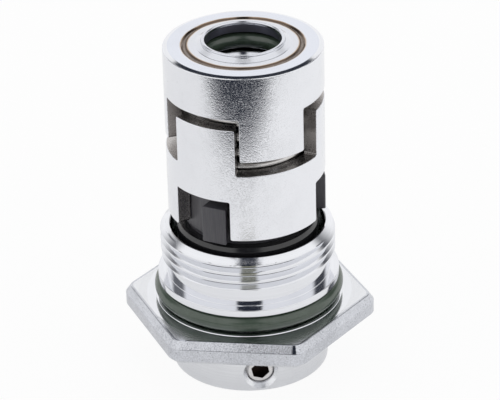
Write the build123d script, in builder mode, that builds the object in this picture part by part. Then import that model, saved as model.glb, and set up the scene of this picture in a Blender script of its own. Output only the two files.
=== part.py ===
from build123d import *
import os
from math import cos, radians, sin, tan

# Cartridge shaft seal for the 16 mm shaft of an upright multistage pump.
# It stands on its drive collar: +Z is the shaft's axis and z = 0 is the underside
# of the collar. The hexagon has one pair of flats square to Y.
# Sizes are in millimetres and angles in degrees.

# Clearances
shaft_clearance = 0.1        # radial, sleeve's bore on the shaft
fit_clearance = 0.05         # radial, pieces that sit or slide on each other
packing_clearance = 0.02     # rubber rings and small pins in their seats
running_clearance = 0.35     # radial, pieces that turn past each other
end_clearance = 0.1          # axial, pieces stacked on each other

# Shaft sleeve
shaft_radius = 8.0
sleeve_wall = 1.5
sleeve_foot = 0.3            # sleeve's lower end above the collar's underside
shaft_ring_section = 3.5     # rubber ring that seals the sleeve on the shaft
shaft_ring_squeeze = 0.35
shaft_groove_height = 4.8
shaft_groove_land = 1.6      # metal below the groove
head_wall = 0.85             # metal outside the groove
head_rise = 0.25             # rise of the head's top from its rim to the lip's foot
lip_rise = 1.0               # crest of the lip above its foot
lip_width = 0.8
lip_drop = 0.5               # outer side of the lip
lip_rounding = 0.3
lip_foot = 1.3               # slope between the lip and the head's top

# Drive collar and set screws at the foot
collar_wall = 7.5
collar_height = 10.3
collar_edge = 0.3
screw_count = 3
screw_turn = -75.6           # direction of the first screw
screw_radius = 3.0
screw_height = 4.4           # screws' axis above the collar's underside
screw_recess = 1.3           # screws' outer face inside the collar's surface
screw_tip_depth = 0.75       # screws' tip behind the sleeve's bore
screw_hole_clearance = 0.1   # radial, screw in the sleeve's hole
screw_mouth = 0.8            # countersink round each screw
screw_edge = 0.3
socket_across_flats = 3.0
socket_depth = 3.0

# Gland: hexagon, groove for its rubber ring, flange and threaded collar
gland_gap = 0.1              # axial, gland above the drive collar
hex_thickness = 5.4
hex_seat_width = 2.3         # flat seat between the shoulder and the bevel
hex_bevel_width = 1.15
hex_bevel_height = 1.6
hex_under_bevel = 1.1
hex_rounding = 3.5
shoulder_height = 0.3
shoulder_width = 0.15        # shoulder beyond the rubber ring
gland_ring_section = 3.5
gland_ring_stand_out = 0.85  # rubber ring beyond the flange
gland_groove_height = 4.15
flange_thickness = 1.6
flange_width = 0.8           # flange beyond the thread's crests
flange_root = 0.7            # hollow between neck and flange
flange_edge = 0.12
neck_length = 3.75
neck_wall = 0.9
thread_depth = 1.3           # thread's crests beyond the neck
thread_length = 7.75
thread_foot = 0.75           # rise from the neck to the lowest crest
thread_pitch = 2.0
thread_crest = 0.3           # width of each crest
thread_groove = 1.15         # depth between the crests
thread_flank = 30.0          # lean of the crests' sides
thread_chamfer = 0.9
mouth_edge = 0.2

# Stationary seal ring in the gland
seat_proud = 1.05            # seal face above the gland's mouth
seat_height = 12.8
seat_tail_height = 6.4
seat_tail_wall = 3.7
seat_shoulder = 1.2
seat_bore_clearance = 0.9    # radial, seal ring past the sleeve
seat_chamfer_width = 0.5
seat_chamfer_height = 0.9
seat_ring_section = 2.56
seat_ring_gap = 0.2          # axial, rubber ring below the ring's shoulder
pin_radius = 1.0
pin_length = 5.0
pin_engagement = 2.0
pin_turn = 40.0
pin_edge = 0.15

# Rotating seal ring and its lugs
nose_height = 1.2
nose_step = 0.3              # nose's bore beyond the stationary ring's bore
nose_width = 2.3
slide_ring_section = 2.6     # rubber ring that slides on the sleeve
slide_ring_room = 0.1        # axial room of that ring
slide_ring_wall = 1.5
ring_back_height = 12.2
ring_edge = 0.3
lug_width = 3.2              # lugs beyond the ring's body
lug_height = 8.35
lug_lift = 0.4
lug_angle = 19.0
lug_side_gap = 3.0           # turn between a lug and its notch's side
lug_edge = 0.25

# Carrier: lower crown with notches for the lugs
holder_clearance = 0.15      # radial, seal ring inside the carrier
carrier_wall = 3.05
carrier_web = 2.7
carrier_skirt = 10.65        # skirt below the web
carrier_rim = 2.0            # wall above the web, between the tabs
carrier_tab_length = 10.6
notch_height = 9.1
notch_angle = 47.5
notch_offset = -3.35         # turn from a tab's centre to its notch's centre

# Driver: upper crown, welded to the sleeve
tab_count = 3
tab_turn = -62.0             # direction of the first driver tab
driver_wall = 3.05
driver_plate = 7.6
driver_skirt = 2.2           # wall below the plate, between the tabs
tab_end_gap = 2.4            # carrier's tabs below the driver
root_end_gap = 3.25          # driver's tabs above the carrier
drive_gap = 3.4              # turn between the tabs on the driving side
back_gap = 15.9              # turn between the tabs on the other side
driver_share = 0.5           # driver's part of the turn that the gaps leave
tab_corner = 0.4
crown_edge = 0.3
weld_width = 1.1
weld_depth = 0.9
weld_sag = 0.3               # weld's surface below the driver's top face

# Spring and its washer
washer_thickness = 1.0
washer_width = 3.2
wire_radius = 1.1
spring_room = 0.6            # radial, spring inside the crowns
spring_pitch = 3.45
spring_turn = 35.0           # direction of the wire's lower end
closed_share = 0.35          # share of a turn that lies level at each end
points_per_turn = 8

# Radii, from the shaft outwards
bore_radius = shaft_radius + shaft_clearance
sleeve_radius = bore_radius + sleeve_wall
shaft_ring_inner = shaft_radius - shaft_ring_squeeze
shaft_groove_radius = shaft_ring_inner + shaft_ring_section + packing_clearance
head_radius = shaft_groove_radius + head_wall
collar_bore = sleeve_radius + fit_clearance
collar_radius = collar_bore + collar_wall
screw_face = collar_radius - screw_recess
screw_tip = bore_radius + screw_tip_depth

gland_bore = sleeve_radius + running_clearance
seat_bore = sleeve_radius + seat_bore_clearance
seat_tail_radius = seat_bore + seat_tail_wall
seat_radius = seat_tail_radius + seat_shoulder
seat_ring_inner = seat_tail_radius + packing_clearance
mouth_radius = seat_ring_inner + seat_ring_section + packing_clearance
neck_radius = mouth_radius + neck_wall
thread_radius = neck_radius + thread_depth
flange_radius = thread_radius + flange_width
gland_ring_inner = flange_radius + gland_ring_stand_out - gland_ring_section
gland_groove_radius = gland_ring_inner - packing_clearance
shoulder_radius = flange_radius + gland_ring_stand_out + shoulder_width
hex_apothem = shoulder_radius + hex_seat_width + hex_bevel_width
pin_circle = (seat_bore + seat_tail_radius) / 2

slide_ring_inner = sleeve_radius + fit_clearance
pocket_radius = slide_ring_inner + slide_ring_section + fit_clearance
ring_bore = sleeve_radius + running_clearance
ring_radius = pocket_radius + slide_ring_wall
nose_inner = seat_bore + nose_step
nose_outer = nose_inner + nose_width
lug_radius = ring_radius + lug_width
crown_bore = ring_radius + holder_clearance
carrier_radius = crown_bore + carrier_wall
driver_radius = crown_bore + driver_wall
driver_bore = head_radius + fit_clearance
weld_outer = driver_bore + weld_width
washer_outer = crown_bore - running_clearance
spring_radius = crown_bore - spring_room - wire_radius

# Heights, from the collar upwards
gland_bottom = collar_height + gland_gap
hex_top = gland_bottom + hex_thickness
shoulder_top = hex_top + shoulder_height
flange_bottom = shoulder_top + gland_groove_height
flange_top = flange_bottom + flange_thickness
thread_bottom = flange_top + neck_length
gland_top = thread_bottom + thread_length
seal_face = gland_top + seat_proud
seat_floor = seal_face - seat_height
seat_shoulder_height = seat_floor + seat_tail_height
seat_ring_middle = seat_shoulder_height - seat_ring_gap - seat_ring_section / 2
mouth_floor = seat_ring_middle - seat_ring_section / 2 - packing_clearance

ring_bottom = seal_face + nose_height
ring_back = ring_bottom + ring_back_height
pocket_floor = ring_back - slide_ring_section - slide_ring_room
lug_bottom = ring_bottom + lug_lift
web_bottom = ring_back + end_clearance
carrier_bottom = web_bottom - carrier_skirt
web_top = web_bottom + carrier_web
carrier_root = web_top + carrier_rim
carrier_top = carrier_root + carrier_tab_length
driver_bottom = carrier_root + root_end_gap
driver_root = carrier_top + tab_end_gap
plate_bottom = driver_root + driver_skirt
driver_top = plate_bottom + driver_plate
washer_top = web_top + washer_thickness
lip_foot_height = driver_top + head_rise
lip_top = lip_foot_height + lip_rise
shaft_groove_bottom = plate_bottom + shaft_groove_land
shaft_groove_top = shaft_groove_bottom + shaft_groove_height

# Turns, counted from +X towards +Y
tab_pitch = 360 / tab_count
tab_room = tab_pitch - drive_gap - back_gap
driver_tab_angle = tab_room * driver_share
carrier_tab_angle = tab_room - driver_tab_angle
carrier_turn = tab_turn - (driver_tab_angle + carrier_tab_angle) / 2 - drive_gap
notch_turn = carrier_turn + notch_offset
lug_turn = notch_turn + (notch_angle - lug_angle) / 2 - lug_side_gap
tab_turns = [tab_turn + index * tab_pitch for index in range(tab_count)]
carrier_turns = [carrier_turn + index * tab_pitch for index in range(tab_count)]
notch_turns = [notch_turn + index * tab_pitch for index in range(tab_count)]
lug_turns = [lug_turn + index * tab_pitch for index in range(tab_count)]
screw_turns = [screw_turn + index * 360 / screw_count for index in range(screw_count)]


def heading(turn, length=1.0):
    """Give the point at a distance from the axis in a direction."""
    return (length * cos(radians(turn)), length * sin(radians(turn)))


def radial_plane(turn, distance, height):
    """Give the plane that faces outwards, at a distance from the axis."""
    outwards = (*heading(turn), 0)
    return Plane(origin=(0, 0, height), z_dir=outwards).offset(distance)


def sector(turn, angle, reach):
    """Draw a wedge from the axis outwards, centred on a direction."""
    side = reach / cos(radians(angle / 2))
    Polygon((0, 0), heading(turn - angle / 2, side), heading(turn + angle / 2, side), align=None)


def section(*points):
    """Draw a closed outline of (radius, height) points."""
    Polygon(*points, align=None)


def flat_ring(inner, outer, bottom, thickness):
    """Make a flat ring between two radii."""
    with BuildPart() as ring:
        with BuildSketch(Plane.XY.offset(bottom)):
            Circle(outer)
            Circle(inner, mode=Mode.SUBTRACT)
        extrude(amount=thickness)
    return ring


def rubber_ring(inner, thickness, middle):
    """Make a ring of round section that lies at a height."""
    with BuildPart() as ring:
        with BuildSketch(Plane.XZ):
            with Locations((inner + thickness / 2, middle)):
                Circle(thickness / 2)
        revolve(axis=Axis.Z)
    return ring


def cut_sectors(turns, angle, reach, bottom, top):
    """Cut equal wedges out of the part, from one height to another."""
    with BuildSketch(Plane.XY.offset(bottom)) as wedges:
        for turn in turns:
            sector(turn, angle, reach)
    extrude(wedges.sketch, amount=top - bottom, mode=Mode.SUBTRACT)


def round_tab_corners(crown):
    """Round the corners that run radially through a crown's wall."""
    level_lines = crown.edges().filter_by(GeomType.LINE).filter_by(Axis.Z, reverse=True)
    fillet(level_lines, tab_corner)


def thread_line(lowest_crest, highest_crest):
    """List the outline of the thread, whose turns stand as plain rings."""
    side = thread_groove * tan(radians(thread_flank))
    points = [(thread_radius, lowest_crest)]
    crest_bottom = lowest_crest
    while crest_bottom + thread_pitch < highest_crest:
        crest_top = crest_bottom + thread_crest
        crest_bottom += thread_pitch
        points += [
            (thread_radius, crest_top),
            (thread_radius - thread_groove, crest_top + side),
            (thread_radius - thread_groove, crest_bottom - side),
            (thread_radius, crest_bottom),
        ]
    points.append((thread_radius, highest_crest))
    return points


def spring_points(bottom, top):
    """List points of a left-hand coil that lies level at both ends."""
    rising_turns = (top - bottom) / spring_pitch
    turns = rising_turns + 2 * closed_share
    count = round(turns * points_per_turn)
    points = []
    for index in range(count + 1):
        done = turns * index / count
        rise = min(max(done - closed_share, 0), rising_turns) * spring_pitch
        points.append((*heading(spring_turn - 360 * done, spring_radius), bottom + rise))
    return points


def edges_at(part, height):
    """Pick a part's round edges at a height, the smallest first."""
    level = part.edges().filter_by(GeomType.CIRCLE).filter_by_position(Axis.Z, height, height)
    return level.sort_by(SortBy.RADIUS)


os.makedirs("parts", exist_ok=True)

# Shaft sleeve: a tube whose thick head holds the shaft's rubber ring
with BuildPart() as shaft_sleeve:
    with BuildSketch(Plane.XZ):
        section(
            (bore_radius, sleeve_foot),
            (sleeve_radius, sleeve_foot),
            (sleeve_radius, plate_bottom),
            (head_radius, plate_bottom),
            (head_radius, driver_top),
            (bore_radius + lip_width + lip_foot, lip_foot_height),
            (bore_radius + lip_width, lip_top - lip_drop),
            (bore_radius + lip_width, lip_top),
            (bore_radius, lip_top),
            (bore_radius, shaft_groove_top),
            (shaft_groove_radius, shaft_groove_top),
            (shaft_groove_radius, shaft_groove_bottom),
            (bore_radius, shaft_groove_bottom),
        )
    revolve(axis=Axis.Z)
    fillet(edges_at(shaft_sleeve, lip_top), lip_rounding)
    for turn in screw_turns:
        with BuildSketch(radial_plane(turn, 0, screw_height)):
            Circle(screw_radius + screw_hole_clearance)
        extrude(amount=sleeve_radius + sleeve_wall, mode=Mode.SUBTRACT)

# Drive collar: its screws clamp the sleeve on the shaft
with BuildPart() as drive_collar:
    with BuildSketch():
        Circle(collar_radius)
    extrude(amount=collar_height)
    chamfer(drive_collar.edges().filter_by(GeomType.CIRCLE), collar_edge)
    with BuildSketch():
        Circle(collar_bore)
    extrude(amount=collar_height, mode=Mode.SUBTRACT)
    for turn in screw_turns:
        with Locations(radial_plane(turn, collar_radius, screw_height)):
            CounterSinkHole(screw_radius, screw_radius + screw_mouth, collar_radius)

# Set screws with a hexagon socket
set_screws = []
for turn in screw_turns:
    with BuildPart() as set_screw:
        with BuildSketch(radial_plane(turn, screw_tip, screw_height)):
            Circle(screw_radius - fit_clearance)
        extrude(amount=screw_face - screw_tip)
        chamfer(set_screw.edges().filter_by(GeomType.CIRCLE), screw_edge)
        with BuildSketch(radial_plane(turn, screw_face, screw_height)):
            RegularPolygon(socket_across_flats / 2, 6, major_radius=False)
        extrude(amount=-socket_depth, mode=Mode.SUBTRACT)
    set_screws.append(set_screw)

# Gland: a cast hexagon with a turned groove, flange and threaded collar
with BuildPart() as gland:
    with BuildSketch(Plane.XY.offset(gland_bottom)) as hexagon:
        RegularPolygon(hex_apothem, 6, major_radius=False)
        fillet(hexagon.vertices(), hex_rounding)
    extrude(amount=hex_thickness)
    upper_face = gland.faces().sort_by(Axis.Z)[-1]
    chamfer(upper_face.edges(), hex_bevel_width, hex_bevel_height, reference=upper_face)
    chamfer(gland.faces().sort_by(Axis.Z)[0].edges(), hex_under_bevel)
    with BuildSketch(Plane.XY.offset(gland_bottom)):
        Circle(gland_bore)
    extrude(amount=hex_thickness, mode=Mode.SUBTRACT)
    with BuildSketch(Plane.XZ):
        section(
            (gland_bore, gland_bottom),
            (shoulder_radius, gland_bottom),
            (shoulder_radius, shoulder_top),
            (gland_groove_radius, shoulder_top),
            (gland_groove_radius, flange_bottom),
            (flange_radius, flange_bottom),
            (flange_radius, flange_top),
            (neck_radius, flange_top),
            (neck_radius, thread_bottom),
            *thread_line(thread_bottom + thread_foot, gland_top - thread_chamfer),
            (thread_radius - thread_chamfer, gland_top),
            (mouth_radius, gland_top),
            (mouth_radius, mouth_floor),
            (seat_tail_radius + fit_clearance, mouth_floor),
            (seat_tail_radius + fit_clearance, seat_floor),
            (gland_bore, seat_floor),
        )
    revolve(axis=Axis.Z)
    fillet(edges_at(gland, flange_top).filter_by(lambda e: e.radius < thread_radius), flange_root)
    chamfer(edges_at(gland, flange_top)[-1], flange_edge)
    chamfer(edges_at(gland, flange_bottom)[-1], flange_edge)
    chamfer(edges_at(gland, gland_top)[0], mouth_edge)
    with Locations((*heading(pin_turn, pin_circle), seat_floor)):
        Hole(pin_radius + packing_clearance, pin_length - pin_engagement)

gland_o_ring = rubber_ring(gland_ring_inner, gland_ring_section, (shoulder_top + flange_bottom) / 2)

# Stationary seal ring, held from turning by a pin in the gland's floor
with BuildPart() as stationary_seal_ring:
    with BuildSketch(Plane.XZ):
        section(
            (seat_bore, seat_floor),
            (seat_tail_radius, seat_floor),
            (seat_tail_radius, seat_shoulder_height),
            (seat_radius, seat_shoulder_height),
            (seat_radius, seal_face - seat_chamfer_height),
            (seat_radius - seat_chamfer_width, seal_face),
            (seat_bore, seal_face),
        )
    revolve(axis=Axis.Z)
    with BuildSketch(Plane.XY.offset(seat_floor)):
        with Locations(heading(pin_turn, pin_circle)):
            Circle(pin_radius + fit_clearance)
    extrude(amount=pin_engagement + end_clearance, mode=Mode.SUBTRACT)

seat_o_ring = rubber_ring(seat_ring_inner, seat_ring_section, seat_ring_middle)

with BuildPart() as locking_pin:
    with BuildSketch(Plane.XY.offset(seat_floor + pin_engagement)):
        with Locations(heading(pin_turn, pin_circle)):
            Circle(pin_radius)
    extrude(amount=-pin_length)
    chamfer(locking_pin.edges().filter_by(GeomType.CIRCLE), pin_edge)

# Rotating seal ring: narrow nose below, lugs at the side, pocket for its rubber ring above
with BuildPart() as rotating_seal_ring:
    with BuildSketch(Plane.XZ):
        section(
            (nose_inner, seal_face),
            (nose_outer, seal_face),
            (nose_outer, ring_bottom),
            (ring_radius, ring_bottom),
            (ring_radius, ring_back),
            (pocket_radius, ring_back),
            (pocket_radius, pocket_floor),
            (ring_bore, pocket_floor),
            (ring_bore, ring_bottom),
            (nose_inner, ring_bottom),
        )
    revolve(axis=Axis.Z)
    chamfer(edges_at(rotating_seal_ring, ring_back)[-1], ring_edge)
    chamfer(edges_at(rotating_seal_ring, ring_bottom)[-1], ring_edge)
    with BuildSketch(Plane.XY.offset(lug_bottom)):
        for turn in lug_turns:
            sector(turn, lug_angle, lug_radius)
        Circle(lug_radius, mode=Mode.INTERSECT)
        Circle(pocket_radius, mode=Mode.SUBTRACT)
    extrude(amount=lug_height)
    lug_faces = rotating_seal_ring.faces().filter_by(GeomType.CYLINDER).filter_by(
        lambda face: abs(face.radius - lug_radius) < packing_clearance
    )
    chamfer(lug_faces.edges(), lug_edge)

slide_o_ring = rubber_ring(slide_ring_inner, slide_ring_section, (pocket_floor + ring_back) / 2)

# Carrier: lower crown that holds and turns the rotating seal ring
with BuildPart() as seal_carrier:
    with BuildSketch(Plane.XZ):
        section(
            (crown_bore, carrier_bottom),
            (carrier_radius, carrier_bottom),
            (carrier_radius, carrier_top),
            (crown_bore, carrier_top),
            (crown_bore, web_top),
            (ring_bore, web_top),
            (ring_bore, web_bottom),
            (crown_bore, web_bottom),
        )
    revolve(axis=Axis.Z)
    chamfer(edges_at(seal_carrier, carrier_bottom)[-1], crown_edge)
    gap_turns = [turn + tab_pitch / 2 for turn in carrier_turns]
    cut_sectors(gap_turns, tab_pitch - carrier_tab_angle, carrier_radius, carrier_root, carrier_top)
    cut_sectors(notch_turns, notch_angle, carrier_radius, carrier_bottom, carrier_bottom + notch_height)
    round_tab_corners(seal_carrier)

washer_inner = washer_outer - washer_width
spring_washer = flat_ring(washer_inner, washer_outer, web_top, washer_thickness)

# Spring between the washer and the driver
spring_end = wire_radius + packing_clearance
with BuildPart() as compression_spring:
    with BuildLine() as coil_line:
        Spline(spring_points(washer_top + spring_end, plate_bottom - spring_end))
    with BuildSketch(Plane(origin=coil_line.line @ 0, z_dir=coil_line.line % 0)):
        Circle(wire_radius)
    sweep(is_frenet=True)

# Driver: upper crown, welded round the sleeve's head
with BuildPart() as seal_driver:
    with BuildSketch(Plane.XZ):
        section(
            (crown_bore, driver_bottom),
            (driver_radius, driver_bottom),
            (driver_radius, driver_top),
            (weld_outer, driver_top),
            (driver_bore, driver_top - weld_depth),
            (driver_bore, plate_bottom),
            (crown_bore, plate_bottom),
        )
    revolve(axis=Axis.Z)
    chamfer(edges_at(seal_driver, driver_top)[-1], crown_edge)
    gap_turns = [turn + tab_pitch / 2 for turn in tab_turns]
    cut_sectors(gap_turns, tab_pitch - driver_tab_angle, driver_radius, driver_bottom, driver_root)
    round_tab_corners(seal_driver)

# Weld between the driver and the sleeve, hollow on top
with BuildPart() as weld_bead:
    with BuildSketch(Plane.XZ):
        with BuildLine():
            ThreePointArc(
                (head_radius, driver_top),
                ((head_radius + weld_outer) / 2, driver_top - weld_sag),
                (weld_outer, driver_top),
            )
            Polyline(
                (weld_outer, driver_top),
                (driver_bore, driver_top - weld_depth),
                (head_radius, driver_top - weld_depth),
                (head_radius, driver_top),
            )
        make_face()
    revolve(axis=Axis.Z)

shaft_o_ring = rubber_ring(
    shaft_ring_inner, shaft_ring_section, (shaft_groove_bottom + shaft_groove_top) / 2
)

pieces = {
    "shaft_sleeve": shaft_sleeve,
    "shaft_o_ring": shaft_o_ring,
    "seal_driver": seal_driver,
    "weld_bead": weld_bead,
    "compression_spring": compression_spring,
    "spring_washer": spring_washer,
    "seal_carrier": seal_carrier,
    "rotating_seal_ring": rotating_seal_ring,
    "slide_o_ring": slide_o_ring,
    "stationary_seal_ring": stationary_seal_ring,
    "seat_o_ring": seat_o_ring,
    "locking_pin": locking_pin,
    "gland": gland,
    "gland_o_ring": gland_o_ring,
    "drive_collar": drive_collar,
}
for index, set_screw in enumerate(set_screws, start=1):
    pieces[f"set_screw_{index}"] = set_screw

for name, piece in pieces.items():
    piece.part.label = name
    export_step(piece.part, f"parts/{name}.step")
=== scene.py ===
"""Looks of a cartridge shaft seal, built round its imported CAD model.

The seal stands on its drive collar, with the shaft's axis along +Z. Sizes are in
millimetres unless a name says otherwise, and turns are in degrees from +X towards +Y.
"""

import logging
from dataclasses import dataclass
from enum import Enum
from math import atan, atan2, copysign, cos, pi, radians, sin, sqrt, tan
from typing import Callable, Iterable, Protocol, Sequence

import bpy
import numpy as np
from mathutils import Matrix, Vector


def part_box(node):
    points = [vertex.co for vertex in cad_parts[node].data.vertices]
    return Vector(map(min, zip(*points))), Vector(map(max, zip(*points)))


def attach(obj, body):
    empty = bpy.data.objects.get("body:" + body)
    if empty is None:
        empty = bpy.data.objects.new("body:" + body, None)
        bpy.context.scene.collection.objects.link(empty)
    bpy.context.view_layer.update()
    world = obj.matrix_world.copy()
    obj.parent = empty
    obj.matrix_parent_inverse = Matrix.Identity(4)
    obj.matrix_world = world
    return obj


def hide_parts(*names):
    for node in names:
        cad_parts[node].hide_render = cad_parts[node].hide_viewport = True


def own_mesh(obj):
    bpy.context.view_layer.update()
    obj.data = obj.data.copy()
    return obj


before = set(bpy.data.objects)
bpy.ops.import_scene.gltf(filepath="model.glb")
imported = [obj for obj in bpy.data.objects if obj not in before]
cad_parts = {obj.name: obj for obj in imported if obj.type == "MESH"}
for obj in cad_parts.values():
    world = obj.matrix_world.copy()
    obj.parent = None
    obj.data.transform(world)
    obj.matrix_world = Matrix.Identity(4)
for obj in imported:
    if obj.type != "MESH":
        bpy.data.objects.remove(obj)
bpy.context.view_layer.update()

LOG = logging.getLogger("shaft_seal")
MM = 0.001

Array = np.ndarray
Piece = bpy.types.Object
Tree = bpy.types.NodeTree
Colour = tuple[float, float, float]
# Two arrays that belong together, such as places and their normals.
Pair = tuple[Array, Array]


# ---------------- measures of the CAD nodes


@dataclass(frozen=True)
class Extent:
    """Height range and outer radius of a CAD node, in millimetres."""

    bottom: float
    top: float
    radius: float

    @property
    def middle(self) -> float:
        """Height half way up."""
        return (self.top + self.bottom) / 2


def extent(node: str) -> Extent:
    """Give a CAD node's height range and its largest distance from the axis along X."""
    low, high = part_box(node)
    return Extent(low.z / MM, high.z / MM, max(high.x, -low.x) / MM)


# ---------------- surfaces from sections


# Straight pieces of a section that are shorter than this, in millimetres, are left out.
SHORTEST = 1e-6


class Rounding(Enum):
    """Number of straight pieces in a quarter turn of a rounded corner."""

    FINE = 3
    SMOOTH = 6
    RUBBER = 12


@dataclass(frozen=True)
class Corner:
    """A corner of a section: distance from the axis, height and rounding."""

    reach: float
    height: float
    rounding: float = 0.0


@dataclass(frozen=True)
class Section:
    """Straight pieces of a section, each with its two ends and its two normals."""

    ends: Array
    normals: Array


def side_normal(angle: float) -> Array:
    """Give the normal to the right of a direction."""
    return np.array([sin(angle), -cos(angle)])


def make_section(corners: Sequence[Corner], closed: bool, steps: Rounding) -> Section:
    """Round a section's corners.

    Args:
        corners: The corners in order, with the material on the left of the way.
        closed: Whether the last corner joins the first.
        steps: How finely the corners are rounded.

    Returns:
        The section's pieces, with normals that point away from the material.
    """
    count = len(corners)
    points = np.array([(c.reach, c.height) for c in corners])
    ends: list[Pair] = []
    normals: list[Pair] = []

    starts, finishes = {}, {}
    for index in range(count):
        here = points[index]
        inner = closed or 0 < index < count - 1
        if not inner or corners[index].rounding <= 0:
            starts[index] = finishes[index] = here
            continue
        before = here - points[index - 1]
        after = points[(index + 1) % count] - here
        first = atan2(before[1], before[0])
        turn = (atan2(after[1], after[0]) - first + pi) % (2 * pi) - pi
        rounding = corners[index].rounding
        setback = rounding * tan(abs(turn) / 2)
        begin = here - before / np.linalg.norm(before) * setback
        hand = copysign(rounding, turn)
        centre = begin - side_normal(first) * hand
        pieces = max(1, round(steps.value * abs(turn) / (pi / 2)))
        angles = [first + turn * k / pieces for k in range(pieces + 1)]
        arc = [centre + side_normal(a) * hand for a in angles]
        starts[index], finishes[index] = arc[0], arc[-1]
        for k in range(pieces):
            ends.append((arc[k], arc[k + 1]))
            normals.append((side_normal(angles[k]), side_normal(angles[k + 1])))
    for index in range(count if closed else count - 1):
        a, b = finishes[index], starts[(index + 1) % count]
        if np.linalg.norm(b - a) < SHORTEST:
            continue
        normal = side_normal(atan2(b[1] - a[1], b[0] - a[0]))
        ends.append((a, b))
        normals.append((normal, normal))
    return Section(np.array(ends), np.array(normals))


class Outline(Protocol):
    """A closed line round the axis that a section is carried along."""

    def place(self, turns: Array, reach: float) -> Pair:
        """Give points and level normals at some turns, in radians, for one reach."""


@dataclass(frozen=True)
class RoundOutline:
    """A circle."""

    def place(self, turns: Array, reach: float) -> Pair:
        """Give points on the circle of that radius, and their normals."""
        normal = np.stack([np.cos(turns), np.sin(turns)], axis=-1)
        return normal * reach, normal


@dataclass(frozen=True)
class HexOutline:
    """A hexagon with rounded corners, one of them on +X."""

    apothem: float
    rounding: float

    LEAST_ROUNDING = 1e-3

    def place(self, turns: Array, reach: float) -> Pair:
        """Give points on the parallel hexagon whose flats lie at that reach.

        Args:
            turns: Turns from +X, in radians.
            reach: Distance of the flats from the axis.

        Returns:
            The points and their level normals.
        """
        sixth = pi / 3
        rounding = max(self.rounding - (self.apothem - reach), self.LEAST_ROUNDING)
        from_flat = turns % sixth - sixth / 2
        from_corner = from_flat - np.sign(from_flat) * sixth / 2
        from_corner = np.where(from_flat == 0, sixth / 2, from_corner)
        centre = (reach - rounding) / cos(sixth / 2)
        straight = np.abs(from_flat) <= atan((reach - rounding) * tan(sixth / 2) / reach)
        root = np.sqrt(np.maximum(rounding**2 - (centre * np.sin(from_corner)) ** 2, 0))
        distance = np.where(straight, reach / np.cos(from_flat), centre * np.cos(from_corner) + root)
        lean = np.arctan2(distance * np.sin(from_corner), distance * np.cos(from_corner) - centre)
        facing = np.where(straight, turns - from_flat, turns - from_corner + lean)
        points = np.stack([np.cos(turns), np.sin(turns)], axis=-1) * distance[:, None]
        return points, np.stack([np.cos(facing), np.sin(facing)], axis=-1)


@dataclass(frozen=True)
class BoxOutline:
    """A rectangle with rounded corners, wide along X and long along Y."""

    width: float
    length: float
    rounding: float

    def place(self, turns: Array, reach: float) -> Pair:
        """Give points on the parallel rectangle, as far in as reach is under half the width.

        Args:
            turns: Turns from +X, in radians.
            reach: Half the width of the parallel rectangle.

        Returns:
            The points and their level normals.
        """
        inset = self.width / 2 - reach
        quarter = np.floor(turns / (pi / 2)).astype(int) % 4
        share = turns / (pi / 2) % 1.0
        facing = (quarter + share) * pi / 2
        side_x = np.where((quarter == 0) | (quarter == 3), 1, -1)
        side_y = np.where(quarter < 2, 1, -1)
        half_width, half_length = self.width / 2 - self.rounding, self.length / 2 - self.rounding
        centre = np.stack([side_x * half_width, side_y * half_length], axis=-1)
        normal = np.stack([np.cos(facing), np.sin(facing)], axis=-1)
        return centre + normal * (self.rounding - inset), normal


def even_turns(count: int) -> Array:
    """Give that many even turns round the axis, in radians."""
    return np.arange(count) * (2 * pi / count)


def closed_line(outline: Outline, turns: Array, reach: float, height: float) -> Array:
    """Give the places of one closed line at a height."""
    return np.column_stack([outline.place(turns, reach)[0], np.full(len(turns), height)])


# Takes places and normals, and gives them changed.
Change = Callable[[Array, Array], Pair]


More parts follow.
